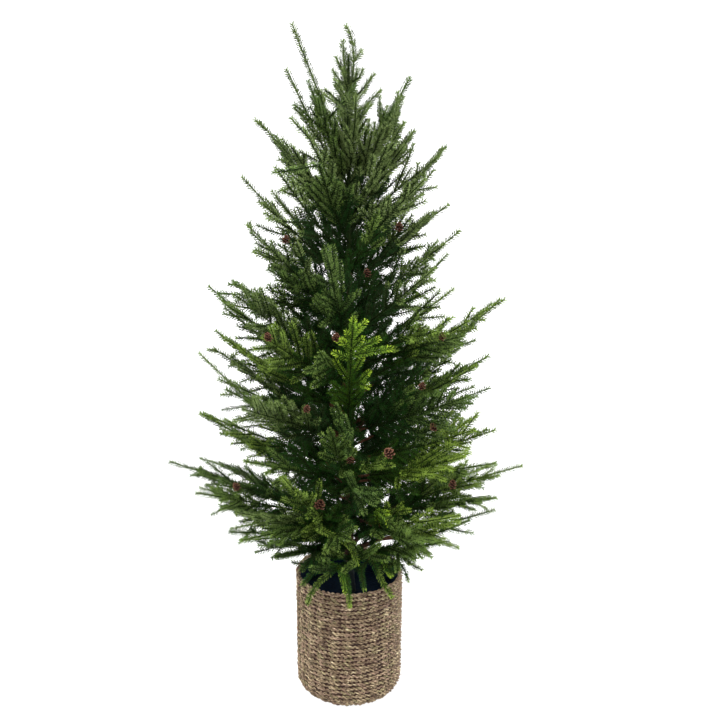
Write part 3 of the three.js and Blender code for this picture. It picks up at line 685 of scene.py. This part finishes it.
# ------------------------------------------------------------------ needles
def needles(twigs, pitch, rng):
    """Vertices, triangles and materials of every needle of these twigs: whorls along the twig, each needle a narrow
    twisted blade, with painted shade darker at its root.
    """
    P, T, N, R, F, LEN, COL, FWD = [], [], [], [], [], [], [], []
    for w in twigs:
        L = lengths(w.line)
        t, n = frames(w.line)
        s = np.arange(w.bare + rng.uniform(0, pitch), L[-1] + .01, pitch)
        if len(s) < 2:
            continue
        P.append(np.stack([np.interp(s, L, w.line[:, k]) for k in range(3)], 1))
        T.append(np.stack([np.interp(s, L, t[:, k]) for k in range(3)], 1))
        N.append(np.stack([np.interp(s, L, n[:, k]) for k in range(3)], 1))
        left = L[-1] - s
        R.append(w.r0 + (w.r1 - w.r0) * s / L[-1])
        LEN.append(w.needle * np.clip(.80 + left / 70, 0, 1) * np.clip(.80 + (s - w.bare) / 50, 0, 1))
        FWD.append(np.clip(left / 10, 0, 1))
        # painted shade: deeper greens in the heart of the crown; painted light: paler ones at its outside and near the
        # top
        out = np.hypot(P[-1][:, 0], P[-1][:, 1]) / np.interp(P[-1][:, 2], CROWN_Z, CROWN_R)
        heart_shaded = (out < rng.uniform(.38, .60)) & (P[-1][:, 2] < 1150 + rng.uniform(-60, 60))
        front = (P[-1][:, 1] < -90) & (np.abs(P[-1][:, 0]) < 110 + rng.uniform(-40, 40))
        outer = (out > rng.uniform(.60, .80)) & ~front | (P[-1][:, 2] > 1340 + rng.uniform(-50, 50))
        lit_high = P[-1][:, 2] > 1030 + rng.uniform(-90, 90)
        COL.append(w.colour + np.where(heart_shaded, 21, np.where(outer, 28, np.where(lit_high, 42, 0)) + np.where(left < 15, 7, 0)))
        F.append(np.arange(len(s)) * .05 + rng.uniform(0, 6.28))
    P, T, N = np.concatenate(P), unit(np.concatenate(T)), np.concatenate(N)
    R, F, LEN, COL, FWD = map(np.concatenate, (R, F, LEN, COL, FWD))
    N = unit(N - T * (N * T).sum(1, keepdims=True))
    B = np.cross(T, N)
    k = AROUND
    n = len(P)
    a = F[:, None] + np.arange(k)[None] * 2 * np.pi / k + rng.normal(0, .09, (n, k))
    out = N[:, None] * np.cos(a)[..., None] + B[:, None] * np.sin(a)[..., None]
    ang = np.radians(30 + 24 * FWD)[:, None] + rng.normal(0, .06, (n, k))
    d = T[:, None] * np.cos(ang)[..., None] + out * np.sin(ang)[..., None]
    length = LEN[:, None] * rng.uniform(.92, 1.08, (n, k))
    root = P[:, None] + out * (R[:, None] * .7)[..., None] + T[:, None] * rng.uniform(-.3, .3, (n, k))[..., None]
    # the blade twists from root to tip, so that it has breadth from every side
    roll = rng.uniform(-1.0, 1.0, (n, k))
    turn = roll + rng.choice([-1., 1.], (n, k)) * rng.uniform(.9, 1.5, (n, k))
    flat = unit(np.cross(d, out))
    lift = np.cross(flat, d)
    w = (WIDE * rng.uniform(.9, 1.12, (n, k)))[..., None]
    low = (flat * np.cos(roll)[..., None] + lift * np.sin(roll)[..., None]) * w
    top = (flat * np.cos(turn)[..., None] + lift * np.sin(turn)[..., None]) * w * BLUNT
    end = root + d * length[..., None] + T[:, None] * (length * .12)[..., None]
    v = np.stack([root - low, root + low, end + top, end - top], 2).reshape(-1, 3)
    i = np.arange(n * k)[:, None] * 4
    tri = np.concatenate([i + [0, 1, 2], i + [0, 2, 3]], 1).reshape(-1, 3)
    mat = np.repeat(COL, k * 2)
    # painted shade dark at the root; the outermost ones get painted light at the root and painted shade at the tip
    # instead, and high ones painted light at the tip
    tone, zone = mat[0::2] % 7, mat[0::2] // 7
    mat[0::2] = tone + np.where((zone == 4) | (zone == 5), 28, 14)
    mat[1::2] = tone + np.choose(zone, [0, 7, 14, 21, 35, 0, 28, 28])
    return v, tri, mat


# half width of the crown by height
CROWN_Z = [310, 360, 420, 480, 620, 760, 900, 1000, 1100, 1200, 1300, 1400, 1500]
CROWN_R = [250, 320, 370, 370, 350, 320, 300, 235, 225, 185, 140, 90, 40]

twigs = grow()
tiers = ["t%d" % k for k in range(1, 10)]
rng = np.random.default_rng(31)
counted = 0
for tier in tiers + ["top"]:
    v, tri, col = needles([w for w in twigs if w.tier == tier], PITCH * {"top": .74, "t9": .84, "t8": .92}.get(tier, 1), rng)
    nodes = [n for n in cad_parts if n.startswith("foliage_%s_" % tier) or n == "foliage_" + tier]
    assert len(tri) < 195000, (tier, len(tri))
    counted += len(tri)
    settle(mesh_object("needles_" + tier, v, [tri], needle_mats, col, smooth=False), "needles", *nodes)

# ------------------------------------------------------------------ twig stems and bough stems
core_green = patterned("twig_core", [(.3, srgb(18, 30, 12)), (.7, srgb(38, 54, 18))], (260, 260, 260), .7, .3, distance=.0004, specular=.1)
tape = patterned("stem_tape", [(.28, srgb(48, 30, 20)), (.5, srgb(76, 50, 34)), (.72, srgb(104, 74, 52))], (160, 160, 60), .8, .5,
                 distance=.0006, rough_range=(.7, .92), specular=.15)
stems, fine = Heap(), Heap()
for w in twigs:
    line, s = resample(w.line, 13 if w.main else 22)
    radii = w.r0 + (w.r1 - w.r0) * s / s[-1]
    if w.main:
        # bare tape as far as the needles, then the moulded green core
        cut = int(np.searchsorted(s, w.bare))
        if cut >= 1:
            tube(stems, line[:cut + 1], radii[:cut + 1], 6, 0 if line[0][2] < 760 else 1)
        if cut < len(s) - 1:
            tube(stems, line[cut:], radii[cut:] * .98, 6, 1)
    else:
        tube(fine, line, radii, 4)
settle(stems.make("bough_stems", [tape, core_green]), "bark")
settle(fine.make("twig_stems", [core_green]), "bark")

# ------------------------------------------------------------------ bark: paper tape wound round the trunk and the limbs
bark = patterned("bark_tape", [(.25, srgb(40, 22, 16)), (.45, srgb(60, 37, 27)), (.62, srgb(80, 53, 38)), (.8, srgb(108, 78, 55))],
                 (90, 90, 260), .8, .6, distance=.0012, rough_range=(.68, .94),
                 second=((14, 14, 9), [(.3, srgb(205, 195, 190)), (.7, srgb(255, 255, 255))]))


def wound(centre, radius, z, sides, seed, turn=15.0, tilt=1.0):
    """Skin of a stem wound with tape: centre and radius at each station, tape edges every turn millimetres along it."""
    T, N = frames(centre)
    B = np.cross(T, N)
    g = np.random.default_rng(seed)
    a = np.arange(sides) * 2 * np.pi / sides
    phase = z[:, None] / turn + tilt * a[None] / (2 * np.pi)
    edge = phase - np.floor(phase)
    # each turn overlaps the last: it swells to its edge, then drops
    relief = .55 * edge ** 2 - .35 * np.exp(-((edge - .04) / .05) ** 2)
    crease = sum(np.sin(z[:, None] * f + a[None] * m + p) * h for f, m, p, h in
                 [(g.uniform(.1, 1.2), g.integers(2, 9), g.uniform(0, 6), g.uniform(.05, .16)) for _ in range(10)])
    r = radius[:, None] + relief + crease + g.normal(0, .05, (len(z), sides))
    return centre[:, None] + (N[:, None] * np.cos(a)[None, :, None] + B[:, None] * np.sin(a)[None, :, None]) * r[..., None]


def skin(heap, rings):
    n, sides = rings.shape[:2]
    i, j = np.meshgrid(np.arange(n - 1), np.arange(sides), indexing="ij")
    k = (j + 1) % sides
    q = np.stack([i * sides + j, i * sides + k, (i + 1) * sides + k, (i + 1) * sides + j], -1).reshape(-1, 4)
    v = np.vstack([rings.reshape(-1, 3), rings[0].mean(0, keepdims=True), rings[-1].mean(0, keepdims=True)])
    j = np.arange(sides)
    k = (j + 1) % sides
    t = np.vstack([np.stack([np.full(sides, n * sides), k, j], 1),
                   np.stack([np.full(sides, n * sides + 1), (n - 1) * sides + j, (n - 1) * sides + k], 1)])
    heap.add(v, q, t)


# painted shade: the trunk's foot below the limbs is coloured near black, as it stands in shade
foot_shade = patterned("trunk_foot", [(.3, srgb(9, 15, 17)), (.7, srgb(22, 30, 30))], (160, 160, 160), .7, .4, distance=.0006, specular=.15)
z = np.arange(TRUNK_FOOT, TRUNK_TOP + .1, 2.5)
heap = Heap()
skin(heap, wound(trunk_centre(z), trunk_r(z) - .2, z, 18, 3))
# top of the trunk in the green core, its foot in the painted shade colour, the rest in bark tape
heap.qm[-1] = np.repeat(np.where(z[:-1] > 1040, 1, np.where(z[:-1] < 334, 2, 0)), 18)
settle(heap.make("trunk_bark", [bark, core_green, foot_shade]), "bark", "trunk")
heap = Heap()
for tier, (attach, start, bow, rows) in LIMBS.items():
    for i in range(len(rows)):
        r = np.linspace(10.0, start + 8, 40)
        c = limb_points(tier, i, r)
        radius = 5.4 + (4.0 - 5.4) * np.clip((r - 14) / (start - 14), 0, 1) - 1.6 * np.clip((r - start) / 8, 0, 1) + 1.6 * np.exp(-(r - 10) / 5)
        skin(heap, wound(c, radius, r, 12, 40 + i, turn=11.0))
settle(heap.make("limb_bark", [bark]), "bark", *[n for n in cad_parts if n.startswith("bough_")])


# ------------------------------------------------------------------ basket
def grass(name, tones, tint=None):
    """Twisted seagrass: fibres run along the strand, which its uv follows."""
    return patterned(name, [(p, srgb(*c)) for p, c in tones], (.55, 7.0, 1.0), .72, .55, coords="UV", detail=6.0,
                     rough_range=(.55, .86), distance=.0009, second=tint, specular=.3)


dull = ((30, 30, 34), [(.30, srgb(222, 216, 214)), (.66, srgb(255, 255, 254))])
grasses = [grass("seagrass_tan", [(.33, (27, 19, 12)), (.44, (84, 70, 52)), (.56, (151, 131, 103)), (.70, (225, 209, 176))], dull),
           grass("seagrass_rosy", [(.33, (27, 18, 14)), (.44, (86, 67, 54)), (.56, (151, 127, 105)), (.70, (221, 200, 174))], dull),
           grass("seagrass_green", [(.33, (26, 20, 12)), (.44, (81, 71, 50)), (.56, (143, 130, 96)), (.70, (215, 202, 161))], dull),
           grass("seagrass_straw", [(.33, (39, 29, 20)), (.44, (104, 89, 68)), (.56, (172, 155, 123)), (.70, (238, 229, 194))], dull),
           grass("seagrass_brown", [(.33, (20, 13, 9)), (.44, (64, 50, 37)), (.56, (117, 97, 75)), (.70, (184, 163, 133))], dull)]
# painted shade: a dark brown backing inside the rows, which shows as shade in the gaps between cords
gap_shade = patterned("basket_gap_shade_colour", [(.3, srgb(30, 16, 12)), (.7, srgb(54, 33, 25))], (120, 120, 120), .9, .4, distance=.001)

R_ROW, PITCH_ROW, EDGE, SEAMS = 119.7, 10.68, 29.7, 24
weave_rng = np.random.default_rng(5)


def profile(s):
    """Centre of a row of cord at a distance down the wall from the top row: radius, height, outward normal (radial, up)."""
    straight = 293.4 - 35
    bend = EDGE * math.pi / 2
    if s < straight:
        return R_ROW, 293.4 - s, (1., 0.)
    if s < straight + bend:
        a = (s - straight) / EDGE
        return 90 + EDGE * math.cos(a), 35 - EDGE * math.sin(a), (math.cos(a), -math.sin(a))
    return 90 - (s - straight - bend), 35 - EDGE, (0., -1.)


def cord_row(heap, s, phase, seed, strands=2, orbit=(2.6, 2.66), thick=2.34, period=20.86, per=7, sides=6, deep=1.0):
    """One closed ring of twisted cord, pinched between the stakes and swollen over them."""
    g = np.random.default_rng(seed)
    radius, height, (nr, nz) = profile(s)
    turns = max(3, int(round(2 * math.pi * radius / period)))
    n = turns * per
    th = np.arange(n) * 2 * np.pi / n
    cell = (th / (2 * np.pi) * SEAMS + .25) % 1.0
    which = (th / (2 * np.pi) * SEAMS + .25).astype(int) % SEAMS
    push = g.normal(0, .55, SEAMS)[which]
    pinch = np.exp(-((cell - .60 - g.normal(0, .06, SEAMS)[which]) / .20) ** 2) * (1 + g.normal(0, .3, SEAMS)[which]).clip(.3, 1.6) * deep
    swell = np.exp(-((cell - .12) / .20) ** 2) * deep
    wave = sum(np.sin(th * m + g.uniform(0, 6.3)) * h for m, h in ((2, .35), (5, .25), (9, .25), (17, .2)))
    rise = sum(np.sin(th * m + g.uniform(0, 6.3)) * h for m, h in ((3, .34), (7, .26), (13, .26), (29, .2)))
    c_r = radius + nr * (wave * .6 + push * np.sin(np.pi * cell) + .95 * swell - 1.7 * pinch)
    c_z = height + nz * (wave * .3 + .5 * swell - .6 * pinch) + (abs(nr)) * rise
    # across the row, in its profile: along the wall, upwards
    br, bz = -nz, nr
    for k in range(strands):
        phi = -turns * th + 2 * np.pi * k / strands + phase + .25 * np.sin(3 * th + seed)
        squeeze = 1 - .32 * pinch + .04 * swell
        o_r, o_z = orbit[0] * np.cos(phi), orbit[1] * np.sin(phi) * squeeze
        rr = c_r + nr * o_r + br * o_z
        zz = c_z + nz * o_r + bz * o_z
        line = np.stack([rr * np.cos(th), rr * np.sin(th), zz], 1)
        T = unit(np.roll(line, -1, 0) - np.roll(line, 1, 0))
        U = np.stack([nr * np.cos(th), nr * np.sin(th), np.full(n, nz)], 1)
        U = unit(U - T * (U * T).sum(1, keepdims=True))
        V = np.cross(T, U)
        a = np.arange(sides) * 2 * np.pi / sides
        fat = thick * (1 - .22 * pinch) * (1 + .09 * np.sin(th * 11 + g.uniform(0, 6)) + .06 * np.sin(th * 37 + g.uniform(0, 6)) + g.normal(0, .04, n))
        v = (line[:, None] + (U[:, None] * np.cos(a)[None, :, None] + V[:, None] * np.sin(a)[None, :, None]) * fat[:, None, None]).reshape(-1, 3)
        i, j = np.meshgrid(np.arange(n), np.arange(sides), indexing="ij")
        i2, j2 = (i + 1) % n, (j + 1) % sides
        q = np.stack([i * sides + j, i2 * sides + j, i2 * sides + j2, i * sides + j2], -1).reshape(-1, 4)
        at_ = np.arange(n + 1) * (2 * math.pi * radius / n) / 10 + seed * 7.3 + k * 3.1
        twist = np.arange(n + 1) * .16
        quv = np.stack([np.stack([at_[i], j / sides + twist[i]], -1), np.stack([at_[i + 1], j / sides + twist[i + 1]], -1),
                        np.stack([at_[i + 1], (j + 1) / sides + twist[i + 1]], -1), np.stack([at_[i], (j + 1) / sides + twist[i]], -1)], 2).reshape(-1, 4, 2)
        # lengths of one plant stem, each with its own tone
        tone, left, mat = 0, 0, np.zeros(n, int)
        for m in range(n):
            if left <= 0:
                tone, left = int(g.choice(5, p=[.36, .24, .16, .11, .13])), int(g.integers(2, 9))
            mat[m] = tone
            left -= 1
        heap.add(v, q, None, np.repeat(mat, sides), quv)


rows = 29
upper, lower = Heap(), Heap()
for k in range(1, rows):
    cord_row(upper if k < 15 else lower, k * PITCH_ROW, weave_rng.uniform(0, 6.3), 100 + k)
s = rows * PITCH_ROW
k = rows
while True:
    radius = profile(s)[0]
    if radius < 8:
        break
    cord_row(lower, s, weave_rng.uniform(0, 6.3), 100 + k, deep=.4)
    s += PITCH_ROW
    k += 1

# rim: a fatter cord of two strands, bound more steeply
cord_row(upper, -.6, .4, 91, strands=2, orbit=(3.0, 3.1), thick=2.6, period=24.0, per=8, deep=.9)


# loose ends of grass
def loose_end(heap, theta, height, length, up, out, g):
    a = math.radians(theta)
    o = np.array([math.cos(a), math.sin(a), 0.])
    side = np.array([-o[1], o[0], 0.])
    radius, z, _ = R_ROW, height, 0
    p0 = o * (radius + 1) + UP * z
    p1 = p0 + o * length * .5 * out + side * length * .35 + UP * up * .3
    p2 = p0 + o * length * out + side * length * g.uniform(.2, .8) + UP * up
    line = curve((p0, p1, p2), 2.0)
    tube(heap, line, np.linspace(.75, .25, len(line)), 4, int(g.integers(0, 4)), uv_per_mm=.1)


frays = Heap()
g = np.random.default_rng(17)
for theta, z, length, up, out in ((183, 247, 12, 4, .9), (184, 238, 10, -3, .9), (-4, 232, 11, 4, .9), (-16, 40, 13, -5, .9), (200, 180, 6, 2, .7),
                                  (340, 120, 6, -2, .7), (260, 90, 5, 2, .5), (300, 210, 5, 2, .5)):
    loose_end(frays, theta, z, length, up, out, g)
for _ in range(90):
    loose_end(frays, g.uniform(0, 360), g.uniform(38, 288), g.uniform(3, 7), g.normal(0, 1.6), g.uniform(.25, .7), g)


def turned(profile_points, n, move=None):
    """A closed skin of revolution; move(r, z, theta, k) may shift each ring's radius and height."""
    p = np.array(profile_points, float)
    th = np.arange(n) * 2 * np.pi / n
    m = len(p)
    r, z = np.repeat(p[:, 0], n).reshape(m, n), np.repeat(p[:, 1], n).reshape(m, n)
    if move:
        r, z = move(r, z, th[None], np.arange(m)[:, None])
    v = np.stack([r * np.cos(th), r * np.sin(th), z], -1).reshape(-1, 3)
    i, j = np.meshgrid(np.arange(m - 1), np.arange(n), indexing="ij")
    k = (j + 1) % n
    q = np.stack([i * n + j, i * n + k, (i + 1) * n + k, (i + 1) * n + j], -1).reshape(-1, 4)
    v = np.vstack([v, [[0, 0, z[0].mean()]], [[0, 0, z[-1].mean()]]])
    j = np.arange(n)
    k = (j + 1) % n
    t = np.vstack([np.stack([np.full(n, m * n), k, j], 1), np.stack([np.full(n, m * n + 1), (m - 1) * n + j, (m - 1) * n + k], 1)])
    return v, q, t


arc = lambda cr, cz, r, a0, a1, n: [(cr + r * math.cos(math.radians(a0 + (a1 - a0) * i / n)), cz + r * math.sin(math.radians(a0 + (a1 - a0) * i / n)))
                                    for i in range(n + 1)]
# a closed dark skin just inside the weave, the painted shade seen through the gaps
core = Heap()
v, q, t = turned([(.5, 4.5)] + arc(90, 35, 30.2, -90, 0, 8) + [(120.2, 150), (120.2, 290), (119, 293.5), (116.6, 293.5), (115.6, 290), (115.6, 150)]
                 + arc(90, 35, 25.4, 0, -90, 8) + [(.5, 9.8)], 96,
                 lambda r, z, th, k: (np.where(r > 60, r - 1.7 + 0 * th, r + 0 * th), z + 0 * th))
core.add(v, q, t)
settle(core.make("basket_gap_shade", [gap_shade]), "seagrass")
settle(upper.make("basket_weave_upper", grasses, uv=True), "seagrass", "basket")
settle(lower.make("basket_weave_lower", grasses, uv=True), "seagrass")
settle(frays.make("basket_loose_ends", grasses, uv=True), "seagrass")

# ------------------------------------------------------------------ dark liner and fill, gathered into fine pleats
cloth = patterned("liner_cloth", [(.3, srgb(2, 12, 24)), (.6, srgb(6, 22, 40)), (.85, srgb(16, 36, 58))], (160, 160, 30), .8, .45,
                  distance=.0009, rough_range=(.7, .95), specular=.07)
filling = patterned("fill_cloth", [(.3, srgb(2, 11, 21)), (.6, srgb(5, 20, 35)), (.85, srgb(14, 33, 52))], (120, 120, 120), .8, .45,
                    distance=.0009, rough_range=(.7, .95), specular=.07)
g = np.random.default_rng(23)
pleat = [(m, g.uniform(0, 6.3), h) for m, h in ((96, .42), (61, .30), (133, .25), (37, .25))]
ridge = lambda th: sum(np.sin(th * m + p) * h for m, p, h in pleat)
v, q, t = turned([(.5, 10.6)] + arc(90, 35, 24.4, -90, 0, 6) + [(114.4, z) for z in (120, 240, 262, 280, 287.4)]
                 + [(113.6, 288.2), (112.7, 287.4)] + [(112.6, z) for z in (280, 262, 240, 120)] + arc(90, 35, 22.4, 0, -90, 6) + [(.5, 12.6)], 288,
                 lambda r, z, th, k: (np.where((k > 7) & (r < 113.7) & (r > 100), r - .5 + ridge(th) * .7, r + 0 * th),
                                      z + np.where(np.abs(z - 288) < 1.5, ridge(th) * .8, 0 * th)))
heap = Heap(); heap.add(v, q, t)
settle(heap.make("liner_pleats", [cloth]), "liner", "liner")
radii = [111.6, 108, 103, 96, 88, 79, 69, 58, 46, 34, 24, 17, 9]
v, q, t = turned([(.5, 13.2)] + arc(90, 35, 21.9, -90, 0, 6) + [(111.9, 120), (111.9, 234)] + [(r, 241.2 if r < 111 else 238) for r in radii], 288,
                 lambda r, z, th, k: (r + 0 * th, z + np.where(z > 236, (ridge(th) * .9 * np.clip(r / 50, .1, 1)
                                                                         + 1.6 * np.sin(th * 7 + r * .05) * np.clip(r / 90, 0, 1) * np.clip((112 - r) / 20, 0, 1)
                                                                         - 1.2), 0)))
heap = Heap(); heap.add(v, q, t)
settle(heap.make("fill_pleats", [filling]), "fill", "fill")


# ------------------------------------------------------------------ cones
cone_core = patterned("cone_core", [(.3, srgb(24, 11, 8)), (.7, srgb(48, 26, 20))], (400, 400, 400), .8, .4, distance=.0006, specular=.1)
cone_scale = patterned("cone_scale", [(.25, srgb(34, 14, 9)), (.5, srgb(50, 27, 19)), (.8, srgb(74, 44, 31))], (500, 500, 500), .7, .5,
                       distance=.0006, rough_range=(.55, .85), specular=.2)
cone_lip = patterned("cone_lip", [(.25, srgb(76, 47, 35)), (.5, srgb(110, 74, 56)), (.8, srgb(150, 112, 88))], (500, 500, 500), .7, .5,
                     distance=.0006, rough_range=(.55, .85), specular=.2)
camera_at = np.array([0., -2000., 1342.])
TILT = math.radians(15.1)
ahead = np.array([0., math.cos(TILT), -math.sin(TILT)])
above = np.array([0., math.sin(TILT), math.cos(TILT)])


def sight(px, py):
    """Direction from the camera through a place in the 720 x 720 frame."""
    return unit(ahead + np.array([1., 0., 0.]) * (px - 349.3) / 944 + above * (360 - py) / 944)


def cone(heap, base, axis, length, g):
    """An open little cone: scales in a spiral, each a bent plate with a rounded lip."""
    axis = unit(axis)
    n1 = unit(np.cross(axis, UP if abs(axis[2]) < .9 else np.array([1., 0., 0.])))
    n2 = np.cross(axis, n1)
    line = base + axis * np.linspace(0, length * .86, 6)[:, None]
    tube(heap, line, length * np.array([.08, .12, .13, .12, .09, .03]), 8, 0)
    count = 28
    spin = g.uniform(0, 6.28)
    for k in range(count):
        f = (k + .5) / count
        a = spin + k * 2.39996
        o = n1 * math.cos(a) + n2 * math.sin(a)
        side = np.cross(axis, o)
        lean = math.radians(84 - 62 * f + g.normal(0, 6))
        d = axis * math.cos(lean) + o * math.sin(lean)
        root = base + axis * length * (.06 + .78 * f) + o * length * .07
        reach = length * (.46 - .16 * f ** 1.6) * (.7 + .3 * min(f / .2, 1)) * g.uniform(.9, 1.1)
        wide = length * (.118 - .04 * f)
        lip = unit(d + axis * .9)
        thick = np.cross(side, d) * length * .02
        rows_ = []
        for u, w, h in ((0, .4, 0), (.45, .85, 0), (.76, 1.0, .05), (1.0, .3, .16)):
            c = root + d * reach * u + lip * reach * h
            rows_ += [c - side * wide * w, c + thick * 1.2 * (1 if u < 1 else .4), c + side * wide * w]
        top_ = np.array(rows_)
        v = np.vstack([top_ + thick, top_ - thick])
        q, tone = [], []
        for r_ in range(3):
            for c_ in range(2):
                i = r_ * 3 + c_
                q += [[i, i + 1, i + 4, i + 3], [12 + i, 12 + i + 3, 12 + i + 4, 12 + i + 1]]
                tone += [(0, 1, 2)[r_]] * 2
        rim = [0, 3, 6, 9, 10, 11, 8, 5, 2, 1]
        for i, j in zip(rim, rim[1:] + rim[:1]):
            q.append([i, j, j + 12, i + 12])
            tone.append(2 if min(i, j) >= 6 else 0)
        heap.add(v, q, None, np.array(tone))


CONES = [(285.6, 238.6), (398.7, 226), (367.6, 272), (269.4, 336.3), (441.5, 335.6), (336, 336.3), (421, 384.6), (306.2, 407.7),
         (390.8, 454.2), (319, 505.7), (238.3, 485), (452.2, 483.3), (350, 458.5), (434.8, 426)]
spots = np.concatenate([resample(w.line, 5)[0][2:] for w in twigs if len(resample(w.line, 5)[0]) > 3])
along = np.concatenate([frames(resample(w.line, 5)[0])[0][2:] for w in twigs if len(resample(w.line, 5)[0]) > 3])
heap, stalks = Heap(), Heap()
g = np.random.default_rng(77)
made = []


def hang(p, foot, axis, length):
    """A cone at foot, its stalk grown from the twig at p."""
    line = curve((p, p * .45 + (foot - axis * 4) * .55, foot + axis * 1.0), 1.5)
    tube(stalks, line, np.linspace(1.0, .9, len(line)), 5)
    cone(heap, foot, axis, length, g)
    made.append(p)


for px, py in CONES:
    plain_sight = (px, py) in CONES[8:10]
    d = sight(px, py + (1.5 if plain_sight else 4))
    to = spots - camera_at
    deep = to @ d
    off = np.linalg.norm(to - deep[:, None] * d, axis=1)
    # just before the frontmost twig close to the line of sight, on a stalk from the twig nearest to it
    foot = camera_at + d * (np.where(off < 9, deep, 1e6).min() - (13 if plain_sight else 3))
    k = int(np.argmin(np.linalg.norm(spots - foot, axis=1)))
    axis = unit(-d * (.9 if plain_sight else .5) + UP * .7 + np.array([g.normal(0, .25), 0, 0]))
    hang(spots[k], foot, axis, g.uniform(21, 23) if plain_sight else g.uniform(15, 18))
outer = np.hypot(spots[:, 0], spots[:, 1])
for k in range(22):
    for _ in range(400):
        i = int(g.integers(len(spots)))
        p = spots[i]
        here = np.abs(spots[:, 2] - p[2]) < 45
        if p[1] < 30 or abs(p[0]) > .45 * outer[here].max() or p[2] < 420 or p[2] > 1200 or outer[i] < .62 * outer[here].max() or outer[i] > .93 * outer[here].max():
            continue
        if min(np.linalg.norm(p - m) for m in made) < 110:
            continue
        # these lie behind: enough twigs stand before them
        to = spots - camera_at
        d = unit(p + UP * 12 - camera_at)
        deep = to @ d
        off = np.linalg.norm(to - deep[:, None] * d, axis=1)
        if ((off < 8) & (deep < np.linalg.norm(p - camera_at) - 40)).sum() < 4:
            continue
        break
    else:
        continue
    o = unit(np.array([p[0], p[1], 0.]))
    axis = unit(o * .5 + UP * .8 + np.array([g.normal(0, .3), g.normal(0, .3), 0]))
    hang(p, p + axis * 6.5, axis, g.uniform(19, 23))
settle(heap.make("cones", [cone_core, cone_scale, cone_lip]), "bark")
settle(stalks.make("cone_stalks", [tape]), "bark")

# ------------------------------------------------------------------ floor, light, camera
bpy.ops.mesh.primitive_plane_add(size=1200, location=(0, 0, -.0005))
floor = bpy.context.object
floor.name = "floor"
white = plain("floor_white", srgb(*FLOOR), .9, .1)
white.node_tree.nodes["Principled BSDF"].inputs["Emission Color"].default_value = (1, 1, 1, 1)
white.node_tree.nodes["Principled BSDF"].inputs["Emission Strength"].default_value = GLOW
floor.data.materials.append(white)
floor.visible_diffuse = False
floor.visible_glossy = False

world = bpy.data.worlds.new("studio")
bpy.context.scene.world = world
world.use_nodes = True
# a white room: brightest round the horizon, softer above, dim below the floor
tree = world.node_tree
where = tree.nodes.new("ShaderNodeTexCoord")
parts_ = tree.nodes.new("ShaderNodeSeparateXYZ")
lift_ = tree.nodes.new("ShaderNodeMapRange")
lift_.inputs["From Min"].default_value, lift_.inputs["From Max"].default_value = -1, 1
sky = tree.nodes.new("ShaderNodeValToRGB")
while len(sky.color_ramp.elements) < len(SKY):
    sky.color_ramp.elements.new(.5)
for k, (p, level) in enumerate(SKY):
    sky.color_ramp.elements[k].position = p
    sky.color_ramp.elements[k].color = (level, level, level, 1)
tree.links.new(where.outputs["Generated"], parts_.inputs["Vector"])
tree.links.new(parts_.outputs["Z"], lift_.inputs["Value"])
tree.links.new(lift_.outputs["Result"], sky.inputs["Fac"])
tree.links.new(sky.outputs["Color"], tree.nodes["Background"].inputs["Color"])


def softbox(name, place, aim, size, power):
    data = bpy.data.lights.new(name, "AREA")
    data.shape = "DISK"
    data.size = size
    data.energy = power
    o = bpy.data.objects.new(name, data)
    o.location = place
    o.rotation_euler = (Vector(aim) - Vector(place)).to_track_quat("-Z", "Y").to_euler()
    bpy.context.scene.collection.objects.link(o)


for box_ in BOXES:
    softbox(*box_)
for name, toward, energy, angle in SUNS:
    sun = bpy.data.lights.new(name, "SUN")
    sun.energy = energy
    sun.angle = math.radians(angle)
    o = bpy.data.objects.new(name, sun)
    o.rotation_euler = Vector((-toward[0], -toward[1], -toward[2])).to_track_quat("-Z", "Y").to_euler()
    bpy.context.scene.collection.objects.link(o)

data = bpy.data.cameras.new("camera")
data.sensor_width = 36
data.lens = 47.2
data.shift_x = .01486
data.dof.use_dof = False
data.clip_start, data.clip_end = .05, 2000
camera = bpy.data.objects.new("camera", data)
camera.location = (0, -2.0, 1.342)
camera.rotation_euler = (math.radians(74.9), 0, 0)
bpy.context.scene.collection.objects.link(camera)
bpy.context.scene.camera = camera
bpy.context.scene.view_settings.view_transform = "Standard"
